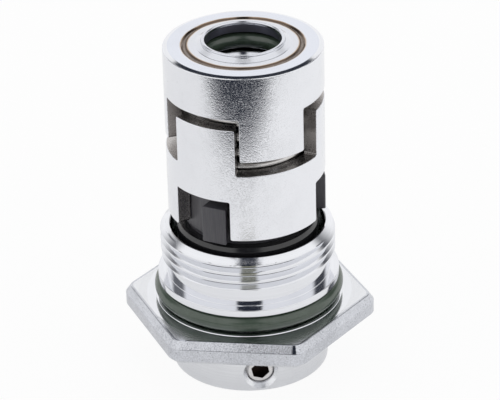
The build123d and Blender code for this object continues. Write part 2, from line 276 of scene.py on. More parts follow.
class Shell:
    """A closed surface that is gathered patch by patch, with a normal at each corner."""

    WELD = 2e-4

    def __init__(self) -> None:
        """Start with no patches."""
        self._corners: list[Array] = []
        self._normals: list[Array] = []
        self._finish: list[Array] = []

    def grid(self, points: Array, normals: Array, around: bool = False, flip: bool = False,
             finish: int = 0) -> None:
        """Add a grid of faces.

        Args:
            points: Places in rows and columns. Columns cross rows towards the outside.
            normals: A normal for each place.
            around: Whether the last column joins the first.
            flip: Whether the faces look the other way.
            finish: Number of the material.
        """
        if around:
            points = np.concatenate([points, points[:, :1]], axis=1)
            normals = np.concatenate([normals, normals[:, :1]], axis=1)

        def quads(values: Array) -> Array:
            """Gather the four corners of each face."""
            corners = [values[:-1, :-1], values[:-1, 1:], values[1:, 1:], values[1:, :-1]]
            return np.stack(corners, axis=2).reshape(-1, 4, 3)[:, ::-1 if flip else 1]

        self._corners.append(quads(points))
        self._normals.append(quads(normals))
        self._finish.append(np.full(len(self._corners[-1]), finish))

    def sweep(self, corners: Sequence[Corner], turns: Array, outline: Outline = RoundOutline(),
              closed: bool = False, steps: Rounding = Rounding.FINE, finish: int = 0) -> None:
        """Carry a section round the axis.

        Args:
            corners: The section's corners, with the material on the left of the way.
            turns: Columns, in radians.
            outline: The line that it is carried along.
            closed: Whether the last corner joins the first.
            steps: How finely the corners are rounded.
            finish: Number of the material.
        """
        section = make_section(corners, closed, steps)
        for ends, normals in zip(section.ends, section.normals):
            points, slopes = [], []
            for (reach, height), (out, up) in zip(ends, normals):
                level, facing = outline.place(turns, reach)
                points.append(np.column_stack([level, np.full(len(turns), height)]))
                slopes.append(np.column_stack([facing * out, np.full(len(turns), up)]))
            self.grid(np.array(points), np.array(slopes), around=True, finish=finish)

    def bridge(self, first: Array, second: Array, normal: Sequence[float],
               finish: int = 0) -> None:
        """Join two closed lines of places with a flat ring of faces.

        Args:
            first: Places of one line.
            second: Places of the other.
            normal: The faces' normal.
            finish: Number of the material.
        """
        points = np.array([first, second])
        normals = np.broadcast_to(np.array(normal, float), points.shape)
        self.grid(points, normals, around=True, finish=finish)

    def cap(self, line: Array, tip: Sequence[float], normal: Sequence[float], finish: int = 0) -> None:
        """Close a line of places with a fan of faces to one point."""
        self.bridge(line, np.broadcast_to(np.array(tip, float), line.shape), normal, finish)

    def reshape(self, change: Change) -> None:
        """Put every place and normal through a function."""
        for index, (corners, normals) in enumerate(zip(self._corners, self._normals)):
            self._corners[index], self._normals[index] = change(corners, normals)

    def build(self, name: str, *finishes: "Finish") -> Piece:
        """Weld the patches into one object at the origin.

        Args:
            name: Name of the object.
            finishes: Its finishes, by number.

        Returns:
            The object, linked to the scene.
        """
        corners = np.concatenate(self._corners)
        normals = np.concatenate(self._normals)
        finish = np.concatenate(self._finish)
        keys = np.round(corners.reshape(-1, 3) / self.WELD).astype(np.int64)
        _, first, index = np.unique(keys, axis=0, return_index=True, return_inverse=True)
        faces, face_normals, face_finish = [], [], []
        for quad, slopes, number in zip(index.reshape(-1, 4), normals, finish):
            keep = [k for k in range(4) if quad[k] != quad[k - 1]]
            if len({quad[k] for k in keep}) < 3:
                continue
            faces.append([int(quad[k]) for k in keep])
            face_normals.extend(slopes[k] for k in keep)
            face_finish.append(int(number))
        mesh = bpy.data.meshes.new(name)
        mesh.from_pydata((corners.reshape(-1, 3)[first] * MM).tolist(), [], faces)
        for kind in finishes:
            mesh.materials.append(kind.material())
        mesh.polygons.foreach_set("material_index", face_finish)
        mesh.shade_smooth()
        lengths = np.linalg.norm(face_normals, axis=1, keepdims=True)
        mesh.normals_split_custom_set((np.array(face_normals) / lengths).tolist())
        return link_object(name, mesh)


# ---------------- crowns with tabs


@dataclass(frozen=True)
class Teeth:
    """Equal teeth on the rim of a round wall."""

    turns: tuple[float, ...]
    width: float
    root: float
    tip: float
    rounding: float


class ToothLine:
    """The rim of a round wall with teeth, drawn in by the rounding of its edges."""

    ARC_STEPS = 5
    SIDE_ROWS = 4
    SAME_TURN = 1e-9
    NEXT_TURN = 1e-7

    def __init__(self, teeth: Teeth, radius: float, edge: float) -> None:
        """Work out the rim's measures.

        Args:
            teeth: The teeth.
            radius: Outer radius of the wall.
            edge: Rounding of the wall's edges.
        """
        self.radius = radius
        self.up = 1.0 if teeth.tip > teeth.root else -1.0
        self.centres = sorted(radians(turn) % (2 * pi) for turn in teeth.turns)
        self.half = radians(teeth.width) / 2 - edge / radius
        self.root = teeth.root - self.up * edge
        self.tip = teeth.tip - self.up * edge
        self.tip_round = teeth.rounding - edge
        self.root_round = teeth.rounding + edge
        self.side_start = self.root + self.up * self.root_round
        self.side_end = self.tip - self.up * self.tip_round

    def columns(self) -> list[float]:
        """Give the turns at which the rim's shape changes.

        Returns:
            The turns, in radians.
        """
        steps = [1 - cos(k * pi / 2 / self.ARC_STEPS) for k in range(self.ARC_STEPS + 1)]
        found = []
        for centre in self.centres:
            for side in (-1, 1):
                edge = centre + side * self.half
                found += [edge + side * step * self.root_round / self.radius for step in steps]
                found += [edge - side * step * self.tip_round / self.radius for step in steps]
        return [turn % (2 * pi) for turn in found]

    def offset(self, turns: Array) -> Array:
        """Give the signed turn from the nearest tooth's centre."""
        gaps = (turns[:, None] - np.array(self.centres)[None] + pi) % (2 * pi) - pi
        return gaps[np.arange(len(turns)), np.abs(gaps).argmin(axis=1)]

    def _level(self, turns: Array, level: float, rounding: float, side: float,
               ) -> tuple[Array, Array, Array]:
        """Follow a level stretch of the rim, which curves into the teeth's sides.

        Args:
            turns: Columns, in radians.
            level: Height of the stretch.
            rounding: Radius of the curves.
            side: 1 between the teeth and -1 on their tips.

        Returns:
            The way from the tooth's side, the height, and the normals along and up.
        """
        offset = self.offset(turns)
        inside = (np.abs(offset) - self.half) * self.radius * side
        lean = np.clip(1 - inside / rounding, 0, 1)
        rise = np.sqrt(1 - lean**2)
        height = level + side * self.up * rounding * (1 - rise)
        return inside, height, np.stack([np.sign(offset) * lean, self.up * rise], axis=-1)

    def band(self, turns: Array) -> Pair:
        """Give the height of the rim between the teeth, and its normals along and up."""
        inside, height, normals = self._level(turns, self.root, self.root_round, 1.0)
        return np.where(inside <= self.SAME_TURN, self.side_start, height), normals

    def tips(self, turns: Array) -> Pair:
        """Give the height of the teeth's tips, and their normals along and up."""
        return self._level(turns, self.tip, self.tip_round, -1.0)[1:]

    def tooth_columns(self, turns: Array) -> list[Array]:
        """Split off the columns of each tooth, from one side to the other.

        Args:
            turns: All columns, in radians.

        Returns:
            The columns of each tooth.
        """
        found = []
        for centre in self.centres:
            offset = (turns - centre + pi) % (2 * pi) - pi
            chosen = np.sort(offset[np.abs(offset) <= self.half + self.SAME_TURN])
            found.append(centre + chosen)
        return found

    def path(self, turns: Array) -> Array:
        """Follow the whole rim.

        Args:
            turns: All columns of the wall, in radians.

        Returns:
            One row for each point: turn, height, normal along and normal up.
        """
        rows: list[tuple[float, float, float, float]] = []
        sides = np.linspace(self.side_start, self.side_end, self.SIDE_ROWS + 1)
        for index, centre in enumerate(self.centres):
            inside = self.tooth_columns(turns)[index]
            heights, slopes = self.tips(inside)
            rows += [(inside[0], z, -1.0, 0.0) for z in sides[:-1]]
            rows += [(t, z, *n) for t, z, n in zip(inside, heights, slopes)]
            rows += [(inside[-1], z, 1.0, 0.0) for z in sides[-2::-1]]
            last = index + 1 == len(self.centres)
            after = self.centres[0] + 2 * pi if last else self.centres[index + 1]
            gap = (turns - inside[-1]) % (2 * pi) + inside[-1]
            free = (gap > inside[-1] + self.NEXT_TURN) & (gap < after - self.half - self.NEXT_TURN)
            gap = np.sort(gap[free])
            heights, slopes = self.band(gap)
            rows += [(t, z, *n) for t, z, n in zip(gap, heights, slopes)]
        return np.array(rows)


def wrap(turns: Array, radius: float, heights: Array) -> Array:
    """Give places on a cylinder."""
    return np.stack([radius * np.cos(turns), radius * np.sin(turns), heights + 0 * turns], axis=-1)


@dataclass(frozen=True)
class RoundWall:
    """A round wall with teeth on one rim or on both."""

    outer: float
    inner: float
    edge: float

    BAND_ROWS = 4
    EDGE_STEPS = 3
    WIDEST_COLUMN = 2.0

    def columns(self, rims: Iterable[ToothLine]) -> Array:
        """Give the turns of all columns, in radians, close enough for a smooth wall.

        Args:
            rims: The wall's rims.

        Returns:
            The turns.
        """
        found = np.array(sorted({round(turn, 9) for rim in rims for turn in rim.columns()}))
        gaps = np.append(found[1:], found[0] + 2 * pi) - found
        parts = np.maximum(1, np.ceil(gaps / radians(self.WIDEST_COLUMN))).astype(int)
        filled = [start + gap * k / n for start, gap, n in zip(found, gaps, parts) for k in range(n)]
        return np.array(filled)

    def band(self, shell: Shell, turns: Array, low: Array, high: Array,
             outside: bool) -> None:
        """Add the wall's face between two rims.

        Args:
            shell: Where it goes.
            turns: All columns, in radians.
            low: Height of the lower rim at each column.
            high: Height of the upper rim at each column.
            outside: Whether it is the outer face.
        """
        shares = np.linspace(0, 1, self.BAND_ROWS + 1)[:, None]
        heights = low[None] * (1 - shares) + high[None] * shares
        self._face(shell, turns, heights, outside, around=True, flip=not outside)

    def teeth(self, shell: Shell, turns: Array, rim: ToothLine, outside: bool) -> None:
        """Add the faces of a rim's teeth.

        Args:
            shell: Where they go.
            turns: All columns, in radians.
            rim: The rim.
            outside: Whether they are on the outer face.
        """
        shares = np.linspace(0, 1, rim.SIDE_ROWS + 1)[:, None]
        for chosen in rim.tooth_columns(turns):
            tips, _ = rim.tips(chosen)
            heights = rim.side_start * (1 - shares) + tips[None] * shares
            self._face(shell, chosen, heights, outside, around=False, flip=(rim.up > 0) != outside)

    def _face(self, shell: Shell, turns: Array, heights: Array, outside: bool, around: bool,
              flip: bool) -> None:
        """Add a grid on the outer or the inner face.

        Args:
            shell: Where it goes.
            turns: Its columns, in radians.
            heights: Height of each place.
            outside: Whether it is the outer face.
            around: Whether the last column joins the first.
            flip: Whether the faces look the other way.
        """
        radius = self.outer if outside else self.inner
        level = np.broadcast_to(turns, heights.shape)
        points = wrap(level, radius, heights)
        normals = wrap(level, 1.0 if outside else -1.0, heights * 0)
        # Inner faces take the second finish, which on the crowns is the cut steel darkened as painted
        # shade.
        shell.grid(points, normals, around=around, flip=flip, finish=0 if outside else 1)

    def rim(self, shell: Shell, turns: Array, rim: ToothLine) -> None:
        """Add a rim: its two rounded edges and the flat between them.

        Args:
            shell: Where it goes.
            turns: All columns, in radians.
            rim: The rim.
        """
        path = rim.path(turns)
        turn, height, along, up = path.T
        tangent = np.stack([-np.sin(turn), np.cos(turn), 0 * turn], axis=-1)
        outward = np.stack([np.cos(turn), np.sin(turn), 0 * turn], axis=-1)
        rising = np.array([0.0, 0.0, 1.0])
        facing = tangent * along[:, None] + rising * up[:, None]

        def ring(radius: float, proud: float, lean: float, side: float) -> Pair:
            """Give one line of places along the rim, and its normals."""
            places = wrap(turn + along * proud / self.outer, radius, height + up * proud)
            return places, outward * cos(lean) * side + facing * sin(lean)

        leans = [k * pi / 2 / self.EDGE_STEPS for k in range(self.EDGE_STEPS + 1)]
        rings = []
        for radius, side, order in ((self.outer, 1.0, leans), (self.inner, -1.0, leans[::-1])):
            for lean in order:
                inset = self.edge * (1 - cos(lean)) * side
                rings.append(ring(radius - inset, self.edge * sin(lean), lean, side))
        points, normals = (np.array(values) for values in zip(*rings))
        cut = len(leans) - 1
        shell.grid(points[:cut + 1], normals[:cut + 1], around=True, flip=rim.up < 0)
        # The rim's flat and inner edge take the second finish, on the crowns the painted shade.
        shell.grid(points[cut:], normals[cut:], around=True, flip=rim.up < 0, finish=1)


# ---------------- round walls with radial holes


@dataclass(frozen=True)
class DrilledWall:
    """A stretch of a tube with equal holes through its wall."""

    outer: float
    inner: float
    low: float
    high: float
    hole_radius: float
    mouth_radius: float
    hole_height: float
    turns: tuple[float, ...]

    BLOCK_HALF = 27.0
    BLOCK_COLUMNS = 16
    BLOCK_ROWS = 10
    PLAIN_COLUMNS = 22
    RINGS = 5
    MOUTH_SLOPE = 1.2

    def columns(self) -> Array:
        """Give the turns of all columns, in radians.

        Returns:
            The turns.
        """
        found: list[float] = []
        pitch = 360.0 / len(self.turns)
        for turn in self.turns:
            block = np.linspace(-self.BLOCK_HALF, self.BLOCK_HALF, self.BLOCK_COLUMNS + 1)
            plain = np.linspace(self.BLOCK_HALF, pitch - self.BLOCK_HALF, self.PLAIN_COLUMNS + 1)
            found += [turn + step for step in (*block[:-1], *plain[:-1])]
        return np.radians(found)

    def rows(self) -> Array:
        """Give the heights of all rows."""
        return np.linspace(self.low, self.high, self.BLOCK_ROWS + 1)

    def add(self, shell: Shell) -> None:
        """Add both faces of the stretch and the walls of its holes.

        Args:
            shell: Where they go.
        """
        columns, rows = self.columns(), self.rows()
        step = self.BLOCK_COLUMNS + self.PLAIN_COLUMNS
        for index, turn in enumerate(self.turns):
            begin = index * step + self.BLOCK_COLUMNS
            chosen = columns[np.arange(begin, begin + self.PLAIN_COLUMNS + 1) % len(columns)]
            for radius, outside in ((self.outer, True), (self.inner, False)):
                level = np.broadcast_to(chosen, (len(rows), len(chosen)))
                heights = np.broadcast_to(rows[:, None], level.shape)
                normals = wrap(level, 1.0 if outside else -1.0, heights * 0)
                shell.grid(wrap(level, radius, heights), normals, flip=not outside)
            self._hole(shell, radians(turn))

    def _frame_line(self, radius: float) -> Array:
        """Give the block's border as (across, height) points, counter-clockwise from outside.

        Args:
            radius: Radius of the face.

        Returns:
            The border's points.
        """
        half = radians(self.BLOCK_HALF)
        across = radius * np.sin(np.linspace(-half, half, self.BLOCK_COLUMNS + 1))
        rows = self.rows()
        right, left = across[-1], across[0]
        border = [(y, rows[0]) for y in across[:-1]] + [(right, z) for z in rows[:-1]]
        border += [(y, rows[-1]) for y in across[:0:-1]] + [(left, z) for z in rows[:0:-1]]
        return np.array(border)

    def _hole(self, shell: Shell, turn: float) -> None:
        """Add the surroundings and the wall of one hole.

        Args:
            shell: Where it goes.
            turn: The hole's turn, in radians.
        """
        spin = np.array(Matrix.Rotation(turn, 3, "Z"))
        outer_line, inner_line = self._frame_line(self.outer), self._frame_line(self.inner)
        angles = np.arctan2(outer_line[:, 1] - self.hole_height, outer_line[:, 0])
        ring = np.stack([np.cos(angles), np.sin(angles)], axis=-1)
        middle = np.array([0.0, self.hole_height])

        def on_cylinder(flat: Array, radius: float, side: float) -> Pair:
            """Lay (across, height) points on a cylinder round the axis.

            Args:
                flat: Points as (across, height).
                radius: Radius of the cylinder.
                side: 1 for the outer face and -1 for the inner.

            Returns:
                The places and their normals.
            """
            depth = np.sqrt(radius**2 - flat[..., 0] ** 2)
            places = np.stack([depth, flat[..., 0], flat[..., 1]], axis=-1)
            normals = np.stack([depth, flat[..., 0], 0 * depth], axis=-1) * side / radius
            return places @ spin.T, normals @ spin.T

        shares = np.linspace(0, 1, self.RINGS + 1)[:, None, None]
        mouth = middle + ring * self.mouth_radius
        places, normals = on_cylinder(outer_line * (1 - shares) + mouth * shares, self.outer, 1.0)
        shell.grid(places, normals, around=True)
        bore_line = middle + ring * self.hole_radius
        rim, _ = on_cylinder(mouth, self.outer, 1.0)
        back, _ = on_cylinder(bore_line, self.inner, -1.0)
        inward = np.stack([0 * angles, -ring[:, 0], -ring[:, 1]], axis=-1)
        seat_depth = self.outer - (self.mouth_radius - self.hole_radius) * self.MOUTH_SLOPE
        seat = np.column_stack([np.full(len(ring), seat_depth), bore_line]) @ spin.T
        if self.mouth_radius > self.hole_radius:
            slope = (inward + np.array([1.0, 0, 0])) @ spin.T / sqrt(2)
            shell.grid(np.array([rim, seat]), np.array([slope, slope]), around=True)
        else:
            seat = rim
        wall = inward @ spin.T
        shell.grid(np.array([seat, back]), np.array([wall, wall]), around=True)
        flat = bore_line * (1 - shares) + inner_line * shares
        places, normals = on_cylinder(flat, self.inner, -1.0)
        shell.grid(places, normals, around=True)


# ---------------- node trees


FLOAT, INTEGER, VECTOR = "NodeSocketFloat", "NodeSocketInt", "NodeSocketVector"
COLOUR, GEOMETRY, MATERIAL = "NodeSocketColor", "NodeSocketGeometry", "NodeSocketMaterial"


def joining(operation: str, swapped: bool = False) -> Callable[["Value", object], "Value"]:
    """Make the method that joins two values with a Math node.

    Args:
        operation: The node's operation.
        swapped: Whether the other value comes first.

    Returns:
        The method.
    """

    def method(self: "Value", other: object) -> "Value":
        """Join them."""
        return self.bench.math(operation, *((other, self) if swapped else (self, other)))

    return method


@dataclass(frozen=True)
class Value:
    """An output of a node, which the signs of arithmetic join to others."""

    bench: "NodeBench"
    socket: bpy.types.NodeSocket

    __add__ = joining("ADD")
    __sub__ = joining("SUBTRACT")
    __rsub__ = joining("SUBTRACT", swapped=True)
    __mul__ = joining("MULTIPLY")
    __truediv__ = joining("DIVIDE")
    __rtruediv__ = joining("DIVIDE", swapped=True)

    def __abs__(self) -> "Value":
        """Drop the sign."""
        return self.bench.math("ABSOLUTE", self)


class NodeBench:
    """Adds and joins the nodes of one tree."""

    def __init__(self, tree: Tree) -> None:
        """Work on a tree."""
        self.tree = tree

    @classmethod
    def clear(cls, owner: bpy.types.Material | bpy.types.World) -> "NodeBench":
        """Start the nodes of a material or a world afresh.

        Args:
            owner: A material or a world.

        Returns:
            Its bench.
        """
        owner.use_nodes = True
        owner.node_tree.nodes.clear()
        return cls(owner.node_tree)

    def add(self, kind: str, *values: object, named: dict[str, object] | None = None,
            **settings: object) -> bpy.types.Node:
        """Add a node.

        Args:
            kind: Type of the node.
            values: Inputs in order, each a value, a node or None to leave it.
            named: Inputs by name.
            settings: Properties of the node.

        Returns:
            The node.
        """
        node = self.tree.nodes.new(kind)
        for name, value in settings.items():
            setattr(node, name, value)
        for socket, value in zip(node.inputs, values):
            self.feed(socket, value)
        for name, value in (named or {}).items():
            self.feed(node.inputs[name], value)
        return node

    def feed(self, socket: bpy.types.NodeSocket, value: object) -> None:
        """Link or set one input.

        Args:
            socket: The input.
            value: A value, a node or a plain value, or None to leave it.
        """
        if isinstance(value, Value):
            self.tree.links.new(value.socket, socket)
        elif isinstance(value, bpy.types.Node):
            self.tree.links.new(value.outputs[0], socket)
        elif value is not None:
            socket.default_value = value

    def out(self, node: bpy.types.Node, name: str | int = 0) -> Value:
        """Give an output of a node, by name or number."""
        return Value(self, node.outputs[name])

    def give(self, **values: object) -> None:
        """Feed the outputs of a node group."""
        result = self.add("NodeGroupOutput")
        for name, value in values.items():
            self.feed(result.inputs[name], value)

    def group(self, tree: Tree, values: dict[str, object]) -> dict[str, Value]:
        """Place a node group with its inputs, and give its outputs by name."""
        node = self.add(tree.bl_idname.replace("Tree", "Group"), node_tree=tree, named=values)
        return {socket.name: Value(self, socket) for socket in node.outputs}

    def math(self, operation: str, *values: object) -> Value:
        """Add a Math node and give its result."""
        return self.out(self.add("ShaderNodeMath", *values, operation=operation))

    def hold(self, value: object, low: object, high: object) -> Value:
        """Hold a value between two others."""
        return self.math("MINIMUM", self.math("MAXIMUM", value, low), high)

    def vector(self, operation: str, *values: object) -> Value:
        """Add a Vector Math node and give its result."""
        node = self.add("ShaderNodeVectorMath", *values, operation=operation)
        return self.out(node, "Value" if operation in ("LENGTH", "DOT_PRODUCT") else "Vector")

    def split(self, vector: object) -> list[Value]:
        """Give the three parts of a vector."""
        node = self.add("ShaderNodeSeparateXYZ", vector)
        return [self.out(node, index) for index in range(3)]

    def join(self, *parts: object) -> Value:
        """Give the vector of three parts."""
        return self.out(self.add("ShaderNodeCombineXYZ", *parts))

    def around(self, radius: Value, turn: Value, height: Value) -> Value:
        """Give the place at a distance from the axis, a turn and a height."""
        return self.join(radius * self.math("COSINE", turn), radius * self.math("SINE", turn), height)

    def remap(self, value: object, low: object, high: object, to_low: object, to_high: object,
              smooth: bool = False) -> Value:
        """Map a range of values to another, with the ends held."""
        node = self.add("ShaderNodeMapRange", value, low, high, to_low, to_high,
                        interpolation_type="SMOOTHSTEP" if smooth else "LINEAR")
        return self.out(node, "Result")

    def mix(self, share: object, first: object, second: object) -> Value:
        """Mix two colours.

        Args:
            share: Share of the second colour.
            first: A colour.
            second: A colour.

        Returns:
            The colour.
        """
        node = self.add("ShaderNodeMix", data_type="RGBA")
        inputs = {socket.identifier: socket for socket in node.inputs}
        for name, value in (("Factor_Float", share), ("A_Color", first), ("B_Color", second)):
            self.feed(inputs[name], (*value, 1.0) if isinstance(value, tuple) else value)
        return Value(self, next(s for s in node.outputs if s.identifier == "Result_Color"))

    def noise(self, vector: object, scale: object, detail: object = 2.0, roughness: float = 0.5) -> Value:
        """Add a Noise Texture and give its value."""
        return self.out(self.add("ShaderNodeTexNoise", named={
            "Vector": vector, "Scale": scale, "Detail": detail, "Roughness": roughness}))


def make_tree(name: str, kind: str, inputs: dict[str, str | float], outputs: dict[str, str],
              ) -> tuple[NodeBench, dict[str, Value]]:
    """Start a node group.

    Args:
        name: Name of the group.
        kind: Type of the tree.
        inputs: Default value of each number, or the type of another input.
        outputs: Type of each output.

    Returns:
        The bench, and the group's inputs by name.
    """
    tree = bpy.data.node_groups.new(name, kind)
    for label, value in inputs.items():
        socket_type = {float: FLOAT, int: INTEGER}.get(type(value), value)
        socket = tree.interface.new_socket(label, in_out="INPUT", socket_type=socket_type)
        if socket_type != value:
            socket.default_value = value
    for label, socket_type in outputs.items():
        tree.interface.new_socket(label, in_out="OUTPUT", socket_type=socket_type)
    bench = NodeBench(tree)
    source = bench.add("NodeGroupInput")
    return bench, {label: bench.out(source, label) for label in inputs}


# ---------------- shared shader effects


# A noise scale is this number over the size of a grain in millimetres.
PER_METRE = 1 / MM


class Effects:
    """Shader node groups that several finishes share, each built once."""

    _made: dict[str, Tree] = {}

    @classmethod
    def place(cls, bench: NodeBench, make: Callable[[], Tree],
              values: dict[str, object]) -> dict[str, Value]:
        """Place an effect, building its group when it is first asked for."""
        if make.__name__ not in cls._made:
            cls._made[make.__name__] = make()
        return bench.group(cls._made[make.__name__], values)

    @staticmethod
    def grain() -> Tree:
        """Build the grain of a blasted or cast surface: small pits and bumps.

        Returns:
            The group.
        """
        bench, given = make_tree(
            "grain", "ShaderNodeTree",
            {"Vector": VECTOR, "Size": 0.25, "Detail": 3.0, "Coarse Share": 0.3},
            {"Height": FLOAT, "Speck": FLOAT},
        )
        scale = PER_METRE / given["Size"]
        coarse_scale, speck_scale = 0.21, 0.33
        fine = bench.noise(given["Vector"], scale, given["Detail"], 0.6)
        coarse = bench.noise(given["Vector"], scale * coarse_scale, 3.0, 0.55)
        cells = bench.add("ShaderNodeTexVoronoi", named={
            "Vector": given["Vector"], "Scale": scale * speck_scale})
        speck = bench.remap(bench.out(cells, "Distance"), 0.05, 0.22, 1.0, 0.0, True)
        bench.give(Height=fine + coarse * given["Coarse Share"], Speck=speck)
        return bench.tree

    @staticmethod
    def turning() -> Tree:
        """Build the marks of a lathe tool: rings that change with radius and height only.

        Returns:
            The group.
        """
        bench, given = make_tree(
            "turning", "ShaderNodeTree",
            {"Vector": VECTOR, "Feed": 0.12, "Unevenness": 0.4},
            {"Height": FLOAT, "Streak": FLOAT},
        )
        x, y, z = bench.split(given["Vector"])
        across = bench.join(bench.vector("LENGTH", bench.join(x, y, 0.0)), z, 0.0)
        scale = PER_METRE / given["Feed"]
        broad_scale, drift_scale = 0.13, 160.0
        rings = bench.noise(across, scale, 2.0, 0.7)
        broad = bench.noise(across, scale * broad_scale, 3.0, 0.6)
        drift = bench.noise(given["Vector"], drift_scale, 3.0, 0.6)
        bench.give(Height=rings + (drift - 0.5) * given["Unevenness"], Streak=broad * 0.7 + rings * 0.3)
        return bench.tree

    @staticmethod
    def handling() -> Tree:
        """Build the traces of handling: faint smears, and a few small scratches.

        Returns:
            The group.
        """
        bench, given = make_tree(
            "handling", "ShaderNodeTree",
            {"Vector": VECTOR, "Amount": 0.5},
            {"Smear": FLOAT, "Scratch": FLOAT},
        )
        smear_scale, patch_scale = 95.0, 230.0
        scratch_lean, scratch_scale = (0.4, 0.9, 0.3), (900.0, 60.0, 420.0)
        clouds = bench.noise(given["Vector"], smear_scale, 4.0, 0.62)
        smear = bench.remap(clouds, 0.42, 0.68, 0.0, 1.0, True)
        turned = bench.add("ShaderNodeMapping", given["Vector"], None, scratch_lean, scratch_scale)
        lines = bench.add("ShaderNodeTexVoronoi", named={"Vector": turned, "Scale": 1.0},
                          feature="DISTANCE_TO_EDGE")
        patches = bench.noise(given["Vector"], patch_scale, 1.0)
        sparse = bench.remap(patches, 0.62, 0.7, 0.0, 1.0, True)
        scratch = bench.remap(lines, 0.0, 0.02, 1.0, 0.0)
        bench.give(Smear=smear * given["Amount"], Scratch=scratch * sparse)
        return bench.tree

    @staticmethod
    def heat_tint() -> Tree:
        """Build the oxide colours beside a weld, by distance from the seam in millimetres.

        Returns:
            The group.
        """
        bench, given = make_tree(
            "heat_tint", "ShaderNodeTree",
            {"Vector": VECTOR, "Seam Radius": 12.6, "Seam Height": 75.0, "Reach": 1.0},
            {"Color": COLOUR, "Mask": FLOAT},
        )
        wander_scale, wander_width = 240.0, 0.35
        x, y, z = bench.split(bench.vector("SCALE", given["Vector"], None, None, PER_METRE))
        side = bench.vector("LENGTH", bench.join(x, y, 0.0)) - given["Seam Radius"]
        drop = z - given["Seam Height"]
        apart = bench.math("SQRT", side * side + drop * drop)
        wander = bench.noise(given["Vector"], wander_scale, 3.0)
        share = (apart + (wander - 0.5) * wander_width) / given["Reach"]
        ramp = bench.add("ShaderNodeValToRGB", share)
        stops = ((0.0, (0.40, 0.36, 0.33)), (0.28, (0.22, 0.17, 0.14)), (0.55, (0.10, 0.075, 0.06)),
                 (0.80, (0.30, 0.20, 0.13)), (1.0, (0.66, 0.55, 0.43)))
        for index, (place, colour) in enumerate(stops):
            stop = ramp.color_ramp.elements[index] if index < 2 else ramp.color_ramp.elements.new(place)
            stop.position, stop.color = place, (*colour, 1.0)
        bench.give(Color=ramp, Mask=bench.remap(share, 0.75, 1.25, 1.0, 0.0, True))
        return bench.tree


# ---------------- finishes


@dataclass(frozen=True)
class Finish:
    """A material, built when it is first asked for."""

    name: str

    def material(self) -> bpy.types.Material:
        """Give the material.

        Returns:
            The material.
        """
        made = bpy.data.materials.get(self.name)
        if made:
            return made
        material = bpy.data.materials.new(self.name)
        bench = NodeBench.clear(material)
        shader = bench.add("ShaderNodeBsdfPrincipled")
        bench.add("ShaderNodeOutputMaterial", shader)
        places = bench.out(bench.add("ShaderNodeTexCoord"), "Object")
        colour, roughness, relief = self.paint(bench, shader, places)
        bump = bench.add("ShaderNodeBump", named={"Strength": 1.0, "Distance": MM, "Height": relief})
        for name, value in (("Base Color", colour), ("Roughness", roughness), ("Normal", bump)):
            bench.feed(shader.inputs[name], value)
        return material

    def paint(self, bench: NodeBench, shader: bpy.types.Node, places: Value) -> tuple[Value, Value, Value]:
        """Give the colour, the roughness and the relief in millimetres at some places.

        What is the same everywhere is set on the shader itself.
        """
        raise NotImplementedError


@dataclass(frozen=True)
class Tint:
    """Heat colours beside a weld: where the seam lies and how far the colours reach."""

    radius: float
    height: float
    reach: float


@dataclass(frozen=True)
class SteelFinish(Finish):
    """Stainless steel with grain from blasting or rings from turning."""

    colour: Colour = (0.86, 0.87, 0.905)
    shade: Colour = (0.72, 0.73, 0.76)
    roughness: float = 0.25
    roughness_spread: float = 0.10
    grain_size: float = 0.25
    grain_detail: float = 3.0
    grain_depth: float = 0.0
    turning_feed: float = 0.12
    turning_depth: float = 0.0
    speckle: float = 0.35
    mottle: float = 0.0
    smears: float = 0.35
    tint: Tint | None = None

    STREAK = 0.5
    STREAK_RANGE = (0.35, 0.65)
    MOTTLE_RANGE = (0.45, 0.85)
    ROUGH_RANGE = (0.35, 0.95)
    SMEAR_SHADE = 0.6
    SMEAR_ROUGHNESS = 0.08
    SCRATCH_DEPTH = 0.002

    def paint(self, bench: NodeBench, shader: bpy.types.Node, places: Value) -> tuple[Value, Value, Value]:
        """Give what feeds the shader.

        Args:
            bench: Where nodes are added.
            shader: The shader, for what is the same everywhere.
            places: Object coordinates.

        Returns:
            The colour, the roughness and the relief in millimetres.
        """
        shader.inputs["Metallic"].default_value = 1.0
        handling = Effects.place(bench, Effects.handling, {"Vector": places, "Amount": self.smears})
        grain = Effects.place(bench, Effects.grain, {
            "Vector": places, "Size": self.grain_size, "Detail": self.grain_detail})
        turning = Effects.place(bench, Effects.turning, {"Vector": places, "Feed": self.turning_feed})
        if self.turning_depth:
            marks = bench.remap(turning["Streak"], *self.STREAK_RANGE, 0.0, self.STREAK)
        else:
            marks = grain["Speck"] * self.speckle
        marks = marks + bench.remap(grain["Height"], *self.MOTTLE_RANGE, 0.0, self.mottle, True)
        colour = bench.mix(handling["Smear"] * self.SMEAR_SHADE + marks, self.colour, self.shade)
        if self.tint:
            heat = Effects.place(bench, Effects.heat_tint, {
                "Vector": places, "Seam Radius": self.tint.radius,
                "Seam Height": self.tint.height, "Reach": self.tint.reach})
            colour = bench.mix(heat["Mask"], colour, heat["Color"])
        low = self.roughness - self.roughness_spread / 2
        high = self.roughness + self.roughness_spread / 2
        rough = bench.remap(grain["Height"], *self.ROUGH_RANGE, low, high)
        relief = grain["Height"] * self.grain_depth + turning["Height"] * self.turning_depth
        relief = relief + handling["Scratch"] * -self.SCRATCH_DEPTH
        return colour, rough + handling["Smear"] * self.SMEAR_ROUGHNESS, relief


